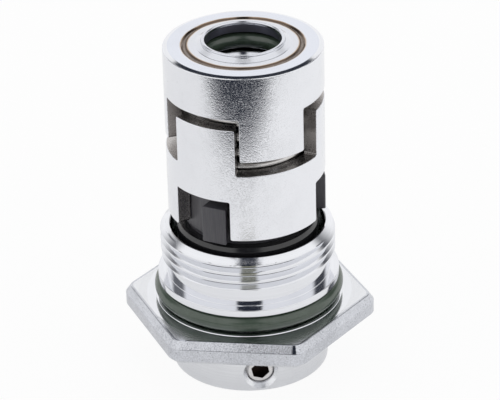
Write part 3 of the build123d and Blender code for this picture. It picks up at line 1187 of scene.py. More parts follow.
@dataclass(frozen=True)
class RubberFinish(Finish):
    """Smooth moulded rubber with a soft sheen."""

    colour: Colour = (0.052, 0.076, 0.054)
    bloom: Colour = (0.080, 0.108, 0.084)
    roughness: float = 0.19
    sheen: float = 0.8
    grain_size: float = 0.12
    grain_depth: float = 0.006

    CLOUD_SCALE = 210.0
    CLOUD_RANGE = (0.35, 0.7)
    MOST_BLOOM = 0.7
    SMOOTHER, ROUGHER = 0.06, 0.08

    def paint(self, bench: NodeBench, shader: bpy.types.Node, places: Value) -> tuple[Value, Value, Value]:
        """Give what feeds the shader.

        Args:
            bench: Where nodes are added.
            shader: The shader, for what is the same everywhere.
            places: Object coordinates.

        Returns:
            The colour, the roughness and the relief in millimetres.
        """
        shader.inputs["Specular IOR Level"].default_value = self.sheen
        grain = Effects.place(bench, Effects.grain, {"Vector": places, "Size": self.grain_size})
        cloud = bench.noise(places, self.CLOUD_SCALE, 4.0, 0.6)
        share = bench.remap(cloud, *self.CLOUD_RANGE, 0.0, self.MOST_BLOOM, True)
        low, high = self.roughness - self.SMOOTHER, self.roughness + self.ROUGHER
        rough = bench.remap(grain["Height"], 0.3, 1.0, low, high)
        return bench.mix(share, self.colour, self.bloom), rough, grain["Height"] * self.grain_depth


@dataclass(frozen=True)
class CarbideFinish(Finish):
    """Ground carbide: nearly black, with a soft sheen and fine marks up and down."""

    colour: Colour = (0.030, 0.029, 0.034)
    pale: Colour = (0.075, 0.074, 0.080)
    roughness: float = 0.30
    grind: float = 0.004
    sheen: float = 0.75

    MARK_STRETCH = (1.0, 1.0, 0.06)
    MARK_SCALE = 2600.0
    MOST_PALE = 0.8
    CLOUD_SCALE = 300.0
    CLOUD_RANGE = (0.3, 0.7)
    SMOOTHER, ROUGHER = 0.05, 0.07

    def paint(self, bench: NodeBench, shader: bpy.types.Node, places: Value) -> tuple[Value, Value, Value]:
        """Give what feeds the shader.

        Args:
            bench: Where nodes are added.
            shader: The shader, for what is the same everywhere.
            places: Object coordinates.

        Returns:
            The colour, the roughness and the relief in millimetres.
        """
        shader.inputs["Specular IOR Level"].default_value = self.sheen
        long_marks = bench.add("ShaderNodeMapping", places, None, None, self.MARK_STRETCH)
        marks = bench.noise(long_marks, self.MARK_SCALE, 2.0, 0.6)
        cloud = bench.noise(places, self.CLOUD_SCALE, 4.0, 0.6)
        share = bench.remap(marks, 0.4, 0.75, 0.0, self.MOST_PALE)
        share = share * bench.remap(cloud, *self.CLOUD_RANGE, 0.3, 1.0)
        low, high = self.roughness - self.SMOOTHER, self.roughness + self.ROUGHER
        rough = bench.remap(cloud, *self.CLOUD_RANGE, low, high)
        return bench.mix(share, self.colour, self.pale), rough, marks * self.grind


SEAM = Tint(radius=12.44, height=75.15, reach=0.86)

BLASTED = SteelFinish("blasted_steel", roughness=0.15, roughness_spread=0.28, grain_size=0.28,
                      grain_detail=1.0, grain_depth=0.016, tint=SEAM)
# Cut steel for the crowns' inner faces, rim flats and web, made much darker than the outside as painted
# shade inside the crowns' gaps.
CUT_AND_SHADED = SteelFinish("cut_steel_painted_shade", colour=(0.56, 0.54, 0.53), shade=(0.42, 0.40, 0.39), roughness=0.27,
                  grain_size=0.3, grain_depth=0.02)
FACED = SteelFinish("faced_steel", colour=(0.765, 0.79, 0.865), shade=(0.66, 0.68, 0.74), roughness=0.14,
                    roughness_spread=0.06, grain_depth=0.005, tint=SEAM)
TURNED = SteelFinish("finely_turned", colour=(0.74, 0.76, 0.82), roughness=0.13, roughness_spread=0.06,
                     grain_size=0.10, grain_depth=0.002, turning_feed=0.10, turning_depth=0.004, tint=SEAM)
BRIGHT = SteelFinish("bright_turned_steel", roughness=0.08, roughness_spread=0.05, grain_size=0.10,
                     grain_depth=0.0008, turning_feed=0.16, turning_depth=0.0022, smears=0.25)
SATIN = SteelFinish("satin_turned_steel", colour=(0.82, 0.83, 0.855), roughness=0.20, grain_size=0.12,
                    grain_depth=0.003, turning_feed=0.09, turning_depth=0.005)
CAST = SteelFinish("cast_hexagon", colour=(0.68, 0.695, 0.74), shade=(0.36, 0.37, 0.40), roughness=0.09,
                   roughness_spread=0.04, grain_size=0.30, grain_detail=1.0, grain_depth=0.004, speckle=0.9,
                   mottle=0.42)
WIRE = SteelFinish("spring_wire", colour=(0.66, 0.65, 0.64), shade=(0.48, 0.47, 0.46), roughness=0.24,
                   grain_size=0.10, grain_depth=0.002)
WELD = SteelFinish("fused_weld", colour=(0.52, 0.42, 0.33), shade=(0.30, 0.22, 0.16), roughness=0.30,
                   grain_size=0.30, grain_depth=0.030, tint=SEAM)
SCREW = SteelFinish("machined_screw", colour=(0.80, 0.79, 0.79), shade=(0.50, 0.47, 0.44), roughness=0.28,
                    grain_size=0.16, grain_depth=0.006)
# Dark steel for the inside of the sleeve's head: painted shade where the deep bore lies in shadow.
SHADED_BORE = SteelFinish("shaded_bore", colour=(0.26, 0.26, 0.32), shade=(0.16, 0.16, 0.20), roughness=0.32,
                   grain_size=0.16, grain_depth=0.004)
# Near-black steel inside the screws' hex sockets: painted shade in the recess.
SOCKET = SteelFinish("socket_painted_shade", colour=(0.085, 0.065, 0.058), shade=(0.03, 0.022, 0.02),
                     roughness=0.30, grain_size=0.16, grain_depth=0.01)
RUBBER = RubberFinish("green_rubber")
ROTATING = CarbideFinish("rotating_carbide", colour=(0.042, 0.040, 0.050), pale=(0.10, 0.10, 0.105),
                         roughness=0.34, grind=0.006)
STATIONARY = CarbideFinish("stationary_carbide", colour=(0.012, 0.012, 0.014), pale=(0.03, 0.03, 0.032),
                           roughness=0.20, grind=0.001)


# ---------------- geometry trees


def link_object(name: str, data: bpy.types.ID) -> Piece:
    """Make an object of some data and put it in the scene.

    Args:
        name: Name of the object.
        data: Its mesh, camera or lamp.

    Returns:
        The object.
    """
    made = bpy.data.objects.new(name, data)
    bpy.context.scene.collection.objects.link(made)
    return made


def run_tree(piece: Piece, tree: Tree, finish: Finish,
             values: dict[str, object]) -> Piece:
    """Shape a piece by a geometry tree, and leave it a plain mesh.

    Args:
        piece: The piece.
        tree: The tree.
        finish: The finish that the tree sets.
        values: Value of each other input, by name.

    Returns:
        The piece.
    """
    material = finish.material()
    values = {**values, "Material": material}
    modifier = piece.modifiers.new(tree.name, "NODES")
    modifier.node_group = tree
    for socket in tree.interface.items_tree:
        if socket.item_type == "SOCKET" and socket.in_out == "INPUT" and socket.name in values:
            modifier[socket.identifier] = values[socket.name]
    graph = bpy.context.evaluated_depsgraph_get()
    mesh = bpy.data.meshes.new_from_object(piece.evaluated_get(graph), depsgraph=graph)
    piece.modifiers.clear()
    piece.data = mesh
    mesh.name = piece.name
    if material.name not in [m.name for m in mesh.materials if m]:
        mesh.materials.append(material)
    return piece


def close_tree(bench: NodeBench, geometry: object, material: Value) -> Tree:
    """End a tree with Realize Instances and Set Material, on the faces of the first finish.

    Args:
        bench: The tree's bench.
        geometry: What the tree has made.
        material: The material that it sets.

    Returns:
        The tree.
    """
    realised = bench.add("GeometryNodeRealizeInstances", geometry)
    first = bench.math("LESS_THAN", bench.add("GeometryNodeInputMaterialIndex"), 0.5)
    bench.give(Geometry=bench.add("GeometryNodeSetMaterial", named={
        "Geometry": realised, "Selection": first, "Material": material}))
    return bench.tree


def ring_of_copies_tree() -> Tree:
    """Build the tree that copies a mesh evenly round the axis.

    Returns:
        The tree.
    """
    bench, given = make_tree(
        "ring_of_copies", "GeometryNodeTree",
        {"Geometry": GEOMETRY, "Count": 3, "Start Turn": 0.0, "Material": MATERIAL},
        {"Geometry": GEOMETRY},
    )
    step = 2 * pi / given["Count"]
    turn = bench.out(bench.add("GeometryNodeInputIndex")) * step + given["Start Turn"]
    copies = bench.add("GeometryNodeInstanceOnPoints", named={
        "Points": bench.add("GeometryNodePoints", given["Count"]), "Instance": given["Geometry"],
        "Rotation": bench.join(0.0, 0.0, turn)})
    return close_tree(bench, copies, given["Material"])


def coil_tree() -> Tree:
    """Build the tree of a left-hand compression spring whose ends lie level.

    Returns:
        The tree, with its sizes in metres.
    """
    bench, given = make_tree(
        "compression_coil", "GeometryNodeTree",
        {"Radius": 0.012, "Wire Radius": 0.001, "Bottom": 0.0, "Top": 0.014, "Pitch": 0.0035,
         "Level Share": 0.35, "Start Turn": 0.0, "Points": 480, "Sides": 32, "Material": MATERIAL},
        {"Geometry": GEOMETRY},
    )
    rising = (given["Top"] - given["Bottom"]) / given["Pitch"]
    turns = rising + given["Level Share"] * 2.0
    even = bench.add("GeometryNodeResampleCurve", named={
        "Curve": bench.add("GeometryNodeCurvePrimitiveLine"), "Count": given["Points"]})
    done = bench.out(bench.add("GeometryNodeSplineParameter"), "Factor") * turns
    climbed = bench.hold(done - given["Level Share"], 0.0, rising)
    turn = given["Start Turn"] - done * (2 * pi)
    place = bench.around(given["Radius"], turn, given["Bottom"] + climbed * given["Pitch"])
    coil = bench.add("GeometryNodeSetPosition", named={"Geometry": even, "Position": place})
    section = bench.add("GeometryNodeCurvePrimitiveCircle", named={
        "Resolution": given["Sides"], "Radius": given["Wire Radius"]})
    wire = bench.add("GeometryNodeCurveToMesh", named={
        "Curve": coil, "Profile Curve": section, "Fill Caps": True})
    smooth = bench.add("GeometryNodeSetShadeSmooth", named={"Geometry": wire, "Shade Smooth": True})
    return close_tree(bench, smooth, given["Material"])


THREAD_SIZES = ("Bottom", "Top", "Root Radius", "Crest Radius", "Bore Radius", "Neck Radius", "Foot",
                "Pitch", "Phase", "Chamfer", "Chamfer Height")


def thread_point_tree() -> Tree:
    """Build the group that places a point of a threaded ring.

    The point lies at a share of the way round, at a height, and at a share of the way
    from the ring's bore out to its thread.

    Returns:
        The group, with its sizes in metres.
    """
    bench, given = make_tree(
        "thread_point", "GeometryNodeTree",
        {"Round": 0.0, "Height": 0.0, "Outward": 1.0, **{name: 0.0 for name in THREAD_SIZES}},
        {"Position": VECTOR},
    )
    crest_share, root_share = 0.15, 0.815
    bottom, top, root, crest, bore, neck, foot, pitch, phase, chamfer, chamfer_height = (
        given[name] for name in THREAD_SIZES)
    rise = given["Height"] - bottom
    climb = rise - given["Round"] * pitch
    along = bench.math("FRACT", climb / pitch + phase)
    full = bench.remap(abs(along * 2.0 - 1.0), crest_share, root_share, 1.0, 0.0)
    thread = root + full * (crest - root)
    top_limit = (crest - chamfer) + (chamfer / chamfer_height) * (top - given["Height"])
    foot_limit = neck + (rise / foot) * (crest - neck)
    for limit in (top_limit, foot_limit):
        thread = bench.math("MINIMUM", thread, limit)
    radius = bore + (thread - bore) * given["Outward"]
    bench.give(Position=bench.around(radius, given["Round"] * (2 * pi), given["Height"]))
    return bench.tree


def threaded_ring_tree() -> Tree:
    """Build the tree of a ring with a right-hand thread outside and a plain bore.

    Returns:
        The tree, with its sizes in metres.
    """
    bench, given = make_tree(
        "threaded_ring", "GeometryNodeTree",
        {**{name: 0.0 for name in THREAD_SIZES}, "Mouth Edge": 0.0002, "Columns": 288,
         "Rows Per Turn": 24, "Material": MATERIAL},
        {"Geometry": GEOMETRY},
    )
    same_place, sharp_angle = 1e-6, radians(20)
    point = thread_point_tree()
    bottom, top, pitch, mouth_edge = (given[name] for name in ("Bottom", "Top", "Pitch", "Mouth Edge"))
    across = given["Columns"] + 1.0
    x, y, _ = bench.split(bench.add("GeometryNodeInputPosition"))
    share_round, share_along = x + 0.5, y + 0.5
    turns = bench.math("CEIL", (top - bottom) / pitch) + 1.0

    def patch(rows: Value | int, height: Value, outward: Value | float) -> Value:
        """Lay one grid along the ring's surface.

        Args:
            rows: Rows of faces.
            height: Height of each point.
            outward: Share of the way from the bore to the thread.

        Returns:
            The grid.
        """
        grid = bench.add("GeometryNodeMeshGrid", 1.0, 1.0, across, rows + 1)
        place = bench.group(point, {
            "Round": share_round, "Height": height, "Outward": outward,
            **{name: given[name] for name in THREAD_SIZES}})
        return bench.add("GeometryNodeSetPosition", named={"Geometry": grid, "Position": place["Position"]})

    free = (bottom - pitch) + pitch * (share_along * turns + share_round)
    edge_share = mouth_edge / (given["Crest Radius"] - given["Chamfer"] - given["Bore Radius"])
    wall = top - bottom - mouth_edge
    patches = [
        patch(2, bottom, share_along),
        patch(2, top - mouth_edge - share_along * wall, 0.0),
        patch(1, top - share_along * mouth_edge, bench.remap(share_along, 0.0, 1.0, edge_share, 0.0)),
        patch(2, top, bench.remap(share_along, 0.0, 1.0, 1.0, edge_share)),
        patch(turns * given["Rows Per Turn"], bench.hold(free, bottom, top), 1.0),
    ]
    joined = bench.add("GeometryNodeJoinGeometry")
    for part in patches:
        bench.feed(joined.inputs[0], part)
    merged = bench.add("GeometryNodeMergeByDistance", named={"Geometry": joined, "Distance": same_place})
    smooth = bench.add("GeometryNodeSetShadeSmooth", named={"Geometry": merged, "Shade Smooth": True})
    sharp = bench.math("GREATER_THAN", bench.add("GeometryNodeInputMeshEdgeAngle"), sharp_angle)
    creased = bench.add("GeometryNodeSetShadeSmooth", domain="EDGE", named={
        "Geometry": smooth, "Selection": sharp, "Shade Smooth": False})
    return close_tree(bench, creased, given["Material"])


# ---------------- sub-assemblies


def seat(piece: Piece, body: str, slot: str, *nodes: str) -> Piece:
    """Fasten a finished piece to its body.

    Args:
        piece: The piece.
        body: The CAD body that it moves with.
        slot: Not used; the record's material slot.
        nodes: The CAD nodes that it stands for.

    Returns:
        The piece.
    """
    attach(piece, body)
    if nodes:
        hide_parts(*nodes)
    LOG.info("%s rides on %s with %d faces", piece.name, body, len(piece.data.polygons))
    return piece


def box_section(inner: float, outer: float, low: float, high: float, rounding: float) -> list[Corner]:
    """Give a rectangular section with four equal corners."""
    places = ((inner, low), (outer, low), (outer, high), (inner, high))
    return [Corner(reach, height, rounding) for reach, height in places]


def turned_ring(name: str, corners: Sequence[Corner], count: int, finish: Finish,
                steps: Rounding = Rounding.FINE) -> Piece:
    """Build a ring: a closed section carried round the axis in a number of columns.

    Args:
        name: Name of the piece.
        corners: Corners of its section.
        count: Number of columns.
        finish: Its finish.
        steps: How finely the corners are rounded.

    Returns:
        The piece.
    """
    shell = Shell()
    shell.sweep(corners, even_turns(count), closed=True, steps=steps)
    return shell.build(name, finish)


def copy_round(piece: Piece, turns: Sequence[float], finish: Finish) -> Piece:
    """Copy a piece evenly round the axis, from the first of its turns in degrees."""
    tree = bpy.data.node_groups.get("ring_of_copies") or ring_of_copies_tree()
    return run_tree(piece, tree, finish, {"Count": len(turns), "Start Turn": radians(turns[0])})


def seat_o_ring(name: str, node: str, section: float, body: str) -> None:
    """Build a rubber ring of round section where a CAD node lies, and fasten it.

    Args:
        name: Name of the piece.
        node: The CAD node.
        section: Thickness of the ring.
        body: The body that it moves with.
    """
    ring = extent(node)
    half = section / 2
    corners = box_section(ring.radius - section, ring.radius, ring.middle - half, ring.middle + half, half)
    seat(turned_ring(name, corners, 240, RUBBER, Rounding.RUBBER), body, "rubber", node)


@dataclass
class SleeveAssembly:
    """The shaft sleeve with its O-ring and the weld that joins it to the driver."""

    bore: float = 8.1
    tube: float = 9.6
    groove: float = 11.17
    groove_bottom: float = 69.4
    groove_top: float = 74.2
    lead_in: float = 0.95
    head_bottom: float = 67.8
    rim_height: float = 75.4
    lip_width: float = 0.8
    lip_foot: float = 1.3
    foot_rise: float = 0.12
    lip_drop: float = 0.5
    lip_inside: float = 0.7
    shaded_from: float = 1.0
    ring_section: float = 3.5
    hole_radius: float = 3.1
    hole_height: float = 4.4
    drilled_top: float = 9.0
    weld_outer: float = 13.17
    weld_depth: float = 0.9
    weld_sag: float = 0.34

    def build(self, screw_turns: Sequence[float]) -> None:
        """Build and fasten all pieces.

        Args:
            screw_turns: Turns of the set screws, in degrees.
        """
        seat(self._sleeve(screw_turns), "rotor", "turned_steel", "shaft_sleeve")
        seat_o_ring("shaft_rubber_ring", "shaft_o_ring", self.ring_section, "rotor")
        seat(self._weld(), "rotor", "weld_metal", "weld_bead")

    def _sleeve(self, screw_turns: Sequence[float]) -> Piece:
        """Build the sleeve: head, lip, groove, tube and the set screws' holes.

        Args:
            screw_turns: Turns of the set screws, in degrees.

        Returns:
            The sleeve.
        """
        sleeve = extent("shaft_sleeve")
        foot, edge = 0.4, 0.25
        drilled = DrilledWall(self.tube, self.bore, sleeve.bottom + foot, self.drilled_top,
                              self.hole_radius, self.hole_radius, self.hole_height, tuple(screw_turns))
        lip = self.bore + self.lip_width
        corners = [
            Corner(self.tube, self.drilled_top),
            Corner(self.tube, self.head_bottom, 0.3),
            Corner(sleeve.radius, self.head_bottom, 0.2),
            Corner(sleeve.radius, self.rim_height, 0.15),
            Corner(lip + self.lip_foot, self.rim_height + self.foot_rise, 0.8),
            Corner(lip, sleeve.top - self.lip_drop, 0.3),
            Corner(lip, sleeve.top, 0.28),
            Corner(self.bore, sleeve.top, 0.35),
            Corner(self.bore, sleeve.top - self.lip_inside),
        ]
        inside = [
            corners[-1],
            Corner(self.bore, self.groove_top, 0.15),
            Corner(self.groove, self.groove_top, 0.2),
            Corner(self.groove, self.groove_bottom + self.shaded_from),
        ]
        below = [
            inside[-1],
            Corner(self.groove, self.groove_bottom, 0.2),
            Corner(self.bore + self.lead_in, self.groove_bottom, 0.1),
            Corner(self.bore, self.groove_bottom - self.lead_in, 0.2),
            Corner(self.bore, self.drilled_top),
        ]
        shell = Shell()
        columns = drilled.columns()
        shell.sweep(corners, columns, steps=Rounding.SMOOTH)
        # The bore above the O-ring and the groove's wall take the painted shade.
        shell.sweep(inside, columns, steps=Rounding.SMOOTH, finish=1)
        shell.sweep(below, columns, steps=Rounding.SMOOTH)
        drilled.add(shell)
        end = [
            Corner(self.bore, sleeve.bottom + foot),
            Corner(self.bore, sleeve.bottom, edge),
            Corner(self.tube, sleeve.bottom, edge),
            Corner(self.tube, sleeve.bottom + foot),
        ]
        shell.sweep(end, columns)
        return shell.build("turned_sleeve", TURNED, SHADED_BORE)

    def _weld(self) -> Piece:
        """Build the weld: a hollow bead with faint ripples along it.

        Returns:
            The weld.
        """
        sleeve = extent("shaft_sleeve")
        overlap, under_rim, foot, fullness, steps = 0.02, 0.03, 0.5, 0.7, 12
        inner, outer = sleeve.radius - overlap, self.weld_outer + overlap
        low, high = self.rim_height - self.weld_depth, self.rim_height - under_rim
        floor = []
        for share in (k / steps for k in range(steps + 1)):
            sag = self.weld_sag * sin(pi * share) ** fullness
            floor.append(Corner(outer + (inner - outer) * share, high - sag))
        shell = Shell()
        shell.sweep([Corner(inner, low), Corner(inner + foot, low), *floor], even_turns(540), closed=True)
        ripple, ripples, still = 0.045, 130, 0.05

        def wave(corners: Array, normals: Array) -> Pair:
            """Raise and lower the bead along its length.

            Args:
                corners: Places in millimetres.
                normals: Their normals.

            Returns:
                Both, changed.
            """
            turn = np.arctan2(corners[..., 1], corners[..., 0])
            reach = np.hypot(corners[..., 0], corners[..., 1])
            inside = np.clip((reach - inner) / (outer - inner), 0, 1)
            raised = (corners[..., 2] > low + still) * np.sin(pi * inside)
            swell = np.sin(turn * ripples + 2.2 * np.sin(turn * 5)) + 0.8 * np.sin(turn * 7 + 1.0)
            corners = corners.copy()
            corners[..., 2] += ripple * swell * raised
            return corners, normals

        shell.reshape(wave)
        return shell.build("weld_seam", WELD)


@dataclass
class CrownDrive:
    """The two crowns that turn the seal ring, with the spring between them."""

    crown_bore: float = 13.95
    driver_turns: tuple[float, ...] = (-62.0, 58.0, 178.0)
    driver_width: float = 50.35
    driver_root: float = 65.6
    driver_plate: float = 67.8
    driver_bore: float = 12.07
    weld_width: float = 1.1
    weld_depth: float = 0.9
    bevel_width: float = 1.05
    bevel_drop: float = 0.28
    head_depth: float = 1.0
    carrier_turns: tuple[float, ...] = (-115.75, 4.25, 124.25)
    carrier_width: float = 50.35
    carrier_root: float = 52.6
    web_bottom: float = 47.9
    web_top: float = 50.6
    web_bore: float = 9.95
    web_rise: float = 0.8
    notch_offset: float = -3.35
    notch_width: float = 47.5
    notch_top: float = 46.35
    corner: float = 0.45
    edge: float = 0.14
    wire_radius: float = 1.1
    spring_radius: float = 12.25
    spring_pitch: float = 3.45
    spring_turn: float = 35.0
    level_share: float = 0.35
    washer_width: float = 3.2
    squeeze: float = 0.002

    def build(self) -> None:
        """Build and fasten all pieces."""
        seat(self._driver(), "rotor", "satin_steel", "seal_driver")
        seat(self._carrier(), "carrier", "satin_steel", "seal_carrier")
        seat(self._washer(), "carrier", "spring_steel", "spring_washer")
        spring = seat(self._spring(), "rotor", "spring_steel", "compression_spring")
        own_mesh(spring)

    def _driver(self) -> Piece:
        """Build the upper crown, with the weld's groove in its top.

        Returns:
            The driver.
        """
        driver = extent("seal_driver")
        wall = RoundWall(driver.radius, self.crown_bore, self.edge)
        teeth = Teeth(self.driver_turns, self.driver_width, self.driver_root, driver.bottom, self.corner)
        rim = ToothLine(teeth, driver.radius, self.edge)
        columns = wall.columns([rim])
        shell = Shell()
        below, _ = rim.band(columns)
        head_foot, plate_foot = driver.top - self.head_depth, self.driver_plate - self.head_depth
        wall.band(shell, columns, below, np.full_like(below, head_foot), outside=True)
        wall.teeth(shell, columns, rim, outside=True)
        wall.rim(shell, columns, rim)
        wall.teeth(shell, columns, rim, outside=False)
        wall.band(shell, columns, below, np.full_like(below, plate_foot), outside=False)
        closing = [
            Corner(driver.radius, head_foot),
            Corner(driver.radius, driver.top - self.bevel_drop, 0.22),
            Corner(driver.radius - self.bevel_width * 0.25, driver.top - self.bevel_drop * 0.75),
        ]
        bevel_end = Corner(driver.radius - self.bevel_width * 0.95, driver.top - self.bevel_drop * 0.05)
        bevel = [closing[-1], bevel_end]
        head = [
            bevel[-1],
            Corner(driver.radius - self.bevel_width, driver.top),
            Corner(self.driver_bore + self.weld_width, driver.top, 0.12),
            Corner(self.driver_bore, driver.top - self.weld_depth),
            Corner(self.driver_bore, self.driver_plate, 0.2),
            Corner(self.crown_bore, self.driver_plate, 0.3),
            Corner(self.crown_bore, plate_foot),
        ]
        shell.sweep(closing, columns)
        shell.sweep(bevel, columns, finish=2)
        shell.sweep(head, columns, finish=3)
        return shell.build("driver_crown", BLASTED, CUT_AND_SHADED, BRIGHT, FACED)

    def _carrier(self) -> Piece:
        """Build the lower crown, with tabs above, notches below and a web inside.

        Returns:
            The carrier.
        """
        carrier = extent("seal_carrier")
        wall = RoundWall(carrier.radius, self.crown_bore, self.edge)
        pitch = 360.0 / len(self.carrier_turns)
        tabs = Teeth(self.carrier_turns, self.carrier_width, self.carrier_root, carrier.top, self.corner)
        legs = tuple(turn + self.notch_offset + pitch / 2 for turn in self.carrier_turns)
        skirt = Teeth(legs, pitch - self.notch_width, self.notch_top, carrier.bottom, self.corner)
        upper = ToothLine(tabs, carrier.radius, self.edge)
        lower = ToothLine(skirt, carrier.radius, self.edge)
        columns = wall.columns([upper, lower])
        shell = Shell()
        above, _ = upper.band(columns)
        below, _ = lower.band(columns)
        web_above, web_below = self.web_top + self.web_rise, self.web_bottom - self.web_rise
        wall.band(shell, columns, below, above, outside=True)
        web = [
            Corner(self.crown_bore, web_above),
            Corner(self.crown_bore, self.web_top, 0.3),
            Corner(self.web_bore, self.web_top, 0.2),
            Corner(self.web_bore, self.web_bottom, 0.2),
            Corner(self.crown_bore, self.web_bottom, 0.3),
            Corner(self.crown_bore, web_below),
        ]
        wall.band(shell, columns, np.full_like(above, web_above), above, outside=False)
        wall.band(shell, columns, below, np.full_like(below, web_below), outside=False)
        shell.sweep(web, columns, finish=1)
        for rim in (upper, lower):
            wall.teeth(shell, columns, rim, outside=True)
            wall.teeth(shell, columns, rim, outside=False)
            wall.rim(shell, columns, rim)
        return shell.build("carrier_crown", BLASTED, CUT_AND_SHADED)

    def _washer(self) -> Piece:
        """Build the washer that the spring stands on.

        Returns:
            The washer.
        """
        washer = extent("spring_washer")
        inner, edge = washer.radius - self.washer_width, 0.15
        corners = box_section(inner, washer.radius, washer.bottom, washer.top, edge)
        return turned_ring("spring_seat_washer", corners, 180, WIRE)

    def _spring(self) -> Piece:
        """Build the spring from its wire's path.

        Returns:
            The spring.
        """
        spring = extent("compression_spring")
        piece = link_object("coil_spring", bpy.data.meshes.new("coil_spring"))
        low, high = spring.bottom + self.wire_radius, spring.top - self.wire_radius
        return run_tree(piece, coil_tree(), WIRE, {
            "Radius": self.spring_radius * MM, "Wire Radius": self.wire_radius * MM,
            "Bottom": low * MM, "Top": high * MM, "Pitch": self.spring_pitch * MM,
            "Level Share": self.level_share, "Start Turn": radians(self.spring_turn)})


@dataclass
class SealRings:
    """The rotating and the stationary seal ring with their O-rings."""

    nose_inner: float = 10.8
    nose_outer: float = 13.1
    ring_bottom: float = 35.6
    body_radius: float = 13.8
    pocket_radius: float = 12.3
    pocket_floor: float = 45.1
    bore: float = 9.95
    lug_turns: tuple[float, ...] = (-107.85, 12.15, 132.15)
    lug_width: float = 19.0
    lug_bottom: float = 36.0
    lug_height: float = 8.35
    lug_radius: float = 17.0
    lug_depth: float = 3.4
    seat_bore: float = 10.5
    seat_tail: float = 14.2
    seat_shoulder: float = 28.0
    seat_chamfer_width: float = 0.5
    seat_chamfer_height: float = 0.9
    slide_section: float = 2.6
    seat_section: float = 2.56

    def build(self) -> None:
        """Build and fasten all pieces."""
        seat(self._rotating(), "carrier", "rotating_ring_carbide", "rotating_seal_ring")
        seat(self._lugs(), "carrier", "rotating_ring_carbide")
        seat_o_ring("slide_rubber_ring", "slide_o_ring", self.slide_section, "carrier")
        seat(self._stationary(), "gland", "stationary_ring_carbide", "stationary_seal_ring")
        seat_o_ring("seat_rubber_ring", "seat_o_ring", self.seat_section, "gland")

    def _rotating(self) -> Piece:
        """Build the rotating ring's body and nose.

        Returns:
            The ring without its lugs.
        """
        ring = extent("rotating_seal_ring")
        corners = [
            Corner(self.nose_inner, ring.bottom, 0.08),
            Corner(self.nose_outer, ring.bottom, 0.08),
            Corner(self.nose_outer, self.ring_bottom, 0.15),
            Corner(self.body_radius, self.ring_bottom, 0.3),
            Corner(self.body_radius, ring.top, 0.3),
            Corner(self.pocket_radius, ring.top, 0.2),
            Corner(self.pocket_radius, self.pocket_floor, 0.2),
            Corner(self.bore, self.pocket_floor, 0.1),
            Corner(self.bore, self.ring_bottom, 0.1),
            Corner(self.nose_inner, self.ring_bottom, 0.1),
        ]
        return turned_ring("rotating_ring", corners, 240, ROTATING)

    def _lugs(self) -> Piece:
        """Build one lug and copy it round the ring.

        Returns:
            All lugs as one piece.
        """
        width = radians(self.lug_width) * self.lug_radius
        outline = BoxOutline(width, self.lug_height, rounding=0.35)
        half, edge, rim = width / 2, 0.3, 0.32
        just_before = 1e-9
        turns = np.sort(np.concatenate([even_turns(32), even_turns(4) + pi / 2 - just_before]))
        inner = self.lug_radius - self.lug_depth
        corners = [
            Corner(half - rim, inner),
            Corner(half, inner),
            Corner(half, self.lug_radius, edge),
            Corner(half - rim, self.lug_radius),
        ]
        shell = Shell()
        shell.sweep(corners, turns, outline)
        for height, up in ((self.lug_radius, 1), (inner, -1)):
            line = closed_line(outline, turns, half - rim, height)
            shell.cap(line[::up], (0, 0, height), (0, 0, up))
        middle = self.lug_bottom + self.lug_height / 2

        def stand(corners: Array, normals: Array) -> Pair:
            """Turn the lug's face outwards and bend it round the axis.

            Args:
                corners: Places in millimetres.
                normals: Their normals.

            Returns:
                Both, changed.
            """
            across, along, out = (corners[..., k] for k in range(3))
            angle = across / self.lug_radius
            places = np.stack([out * np.cos(angle), out * np.sin(angle), along + middle], axis=-1)
            facing = np.stack([
                normals[..., 2] * np.cos(angle) - normals[..., 0] * np.sin(angle),
                normals[..., 2] * np.sin(angle) + normals[..., 0] * np.cos(angle),
                normals[..., 1]], axis=-1)
            return places, facing

        shell.reshape(stand)
        return copy_round(shell.build("drive_lugs", ROTATING), self.lug_turns, ROTATING)

    def _stationary(self) -> Piece:
        """Build the stationary ring.

        Returns:
            The ring.
        """
        ring = extent("stationary_seal_ring")
        corners = [
            Corner(self.seat_bore, ring.bottom, 0.2),
            Corner(self.seat_tail, ring.bottom, 0.4),
            Corner(self.seat_tail, self.seat_shoulder, 0.2),
            Corner(ring.radius, self.seat_shoulder, 0.2),
            Corner(ring.radius, ring.top - self.seat_chamfer_height, 0.2),
            Corner(ring.radius - self.seat_chamfer_width, ring.top, 0.12),
            Corner(self.seat_bore, ring.top, 0.1),
        ]
        return turned_ring("stationary_ring", corners, 240, STATIONARY)


